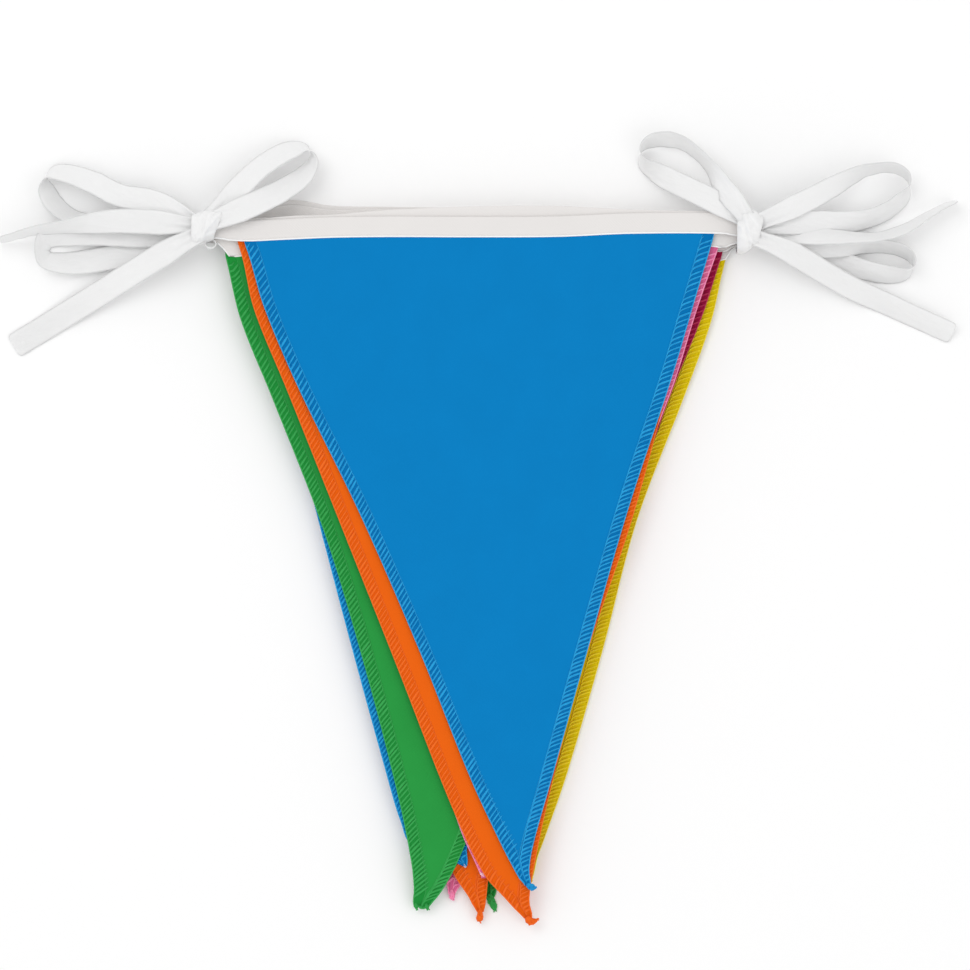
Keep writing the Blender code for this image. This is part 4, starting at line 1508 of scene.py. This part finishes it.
    def build_wrap(self) -> Object:
        """Make the turns of ribbon round the folded tape.

        Returns:
            The wrap, dressed.
        """
        knot = self.knot
        middle, tall = (self.top + self.bottom) / 2, (self.top - self.bottom) / 2
        rows, marks = [], []
        for i in range(self.round_steps):
            angle = 2 * math.pi * i / self.round_steps
            c, s = math.cos(angle), math.sin(angle)
            row = []
            for u in from_side_to_side(self.wrap_ribs):
                upper, lower = (curve_through(SHAPE_AT, at, u) for at in (knot.upper, knot.lower))
                high = upper - lower
                y = (upper + lower) / 2 + math.copysign(abs(c) ** self.square, c) * high / 2
                corner = knot.reach + knot.slant * smooth_step(0.5 + y / high)
                x = u * (knot.half_x if u < 0 else corner)
                slope = 1.0 - self.sloped * abs(u) ** 3 if s > 0 else 1.0
                z = middle + math.copysign(abs(s) ** self.square, s) * tall * slope
                z += self.fold_height(x, y) * max(s, 0.0)
                row.append(Vector((knot.x + x, knot.y + y, z)))
            rows.append(row)
            marks.append([(k * 0.45, i * 0.8) for k in range(self.wrap_ribs)])
        sewing = Sewing()
        sewing.sheet(rows, marks, closed=True)
        piece = sewing.make(f"ribbon_{self.name}_knot", LIGHTER_KNOT_FINISH.material(),
                            thickness=self.wrap_cloth, subdivide=1)
        return dress(piece, f"tie_{self.name}")

    def build_curl(self, curl: Curl) -> Object:
        """Make the small curl where the ribbon's edge turns back on itself under the knot.

        Args:
            curl: its place and sizes.

        Returns:
            The curl, dressed.
        """
        rows = curl.rows(self.knot)
        marks = [[(k * 0.4, curl.wide * m / curl.ribs) for m in range(curl.ribs + 1)]
                 for k in range(len(rows))]
        sewing = Sewing()
        sewing.sheet(rows, marks)
        piece = sewing.make(f"ribbon_{self.name}_curl", LIGHTER_KNOT_FINISH.material(),
                            thickness=self.cloth)
        length = sum((a[0] - b[0]).length for a, b in zip(rows, rows[1:]))
        # a sheet is declared as 10 mm at least, with its true area
        max(curl.wide, 10.0) * MM
        return dress(piece, f"tie_{self.name}")

    def build(self) -> Iterable[Object]:
        """Make every length of ribbon, the knot and the curl.

        Returns:
            The pieces.
        """
        for label, bends in self.ribbons.items():
            yield self.build_ribbon(label, bends)
        yield self.build_wrap()
        if self.curl:
            yield self.build_curl(self.curl)


# --- the studio -----------------------------------------------------------------------------------
class Lamp(NamedTuple):
    """A soft lamp that looks at the middle, its place and size in metres, its power in watts."""
    name: str
    place: tuple[float, float, float]
    power: float
    size: float


@dataclass(frozen=True)
class Studio:
    """A pale table under soft light, and the camera over it.

    Attributes:
        height: of the camera over the table, in metres.
        frame_width: width of the picture at the front pennant, in metres.
        front: height of the front pennant, in metres.
        look_x, look_y: what lies under the camera, in metres.
        sensor: width of the camera's sensor, in millimetres.
        table: length of the table's sides, in metres.
        air: strength of the light from all round.
        lamps: the soft lamps.
    """
    height: float = 2.0
    frame_width: float = 0.4127
    front: float = 0.0127
    look_x: float = 0.0036
    look_y: float = 0.0172
    sensor: float = 36.0
    table: float = 6.0
    air: float = 0.84
    lamps: tuple[Lamp, ...] = (Lamp("key", (-0.7, 0.7, 1.6), 6.0, 1.1),
                               Lamp("fill", (0.9, -0.5, 1.5), 3.0, 1.3))

    def build_table(self) -> None:
        """Lay the pale table."""
        bpy.ops.object.select_all(action="DESELECT")
        bpy.ops.mesh.primitive_plane_add(size=self.table, location=(0.0, 0.0, 0.0))
        table = bpy.context.active_object
        table.name = "studio_table"
        finish = {"Base Color": linear("FCFCFC"), "Roughness": 0.9}
        table.data.materials.append(plain_material("matt_white_laminate", finish)[0])

    def build_lights(self) -> None:
        """Hang the soft lights."""
        world = bpy.data.worlds.new("studio_air")
        world.use_nodes = True
        glow = world.node_tree.nodes["Background"].inputs
        glow["Color"].default_value = linear("FFFFFF")
        glow["Strength"].default_value = self.air
        bpy.context.scene.world = world
        # the dyes show as strong as they are
        bpy.context.scene.view_settings.view_transform = "Standard"
        for lamp in self.lamps:
            light = bpy.data.lights.new(lamp.name, "AREA")
            light.energy, light.size = lamp.power, lamp.size
            hung = bpy.data.objects.new(lamp.name, light)
            hung.location = lamp.place
            hung.rotation_euler = (-Vector(lamp.place)).to_track_quat("-Z", "Y").to_euler()
            bpy.context.scene.collection.objects.link(hung)

    def build_camera(self) -> None:
        """Set the camera straight over the bunting, as in the photograph."""
        data = bpy.data.cameras.new("camera")
        data.sensor_width = self.sensor
        data.lens = self.sensor * (self.height - self.front) / self.frame_width
        data.clip_end = 50.0
        camera = bpy.data.objects.new("camera", data)
        camera.location = (self.look_x, self.look_y, self.height)
        bpy.context.scene.collection.objects.link(camera)
        bpy.context.scene.camera = camera


def main() -> None:
    """Build the studio, and then every piece of the bunting from its front to its ties."""
    logging.basicConfig(level=logging.INFO, format="%(name)s: %(message)s")
    studio = Studio()
    studio.build_camera()
    studio.build_table()
    studio.build_lights()
    for pennant in PENNANTS:
        for piece in (pennant.build_cloth(), pennant.build_overlock()):
            LOG.info("%s", piece.name)
    tape = HeadingTape()
    for piece in (tape.build_tape(), tape.build_selvage()):
        LOG.info("%s", piece.name)
    for bow in (Bow("left", LEFT_KNOT, LEFT_RIBBONS, curl=Curl(2.2, -7.2, 2.1), width=10.7),
                Bow("right", RIGHT_KNOT, RIGHT_RIBBONS)):
        for piece in bow.build():
            LOG.info("%s", piece.name)


if __name__ == "__main__":
    main()
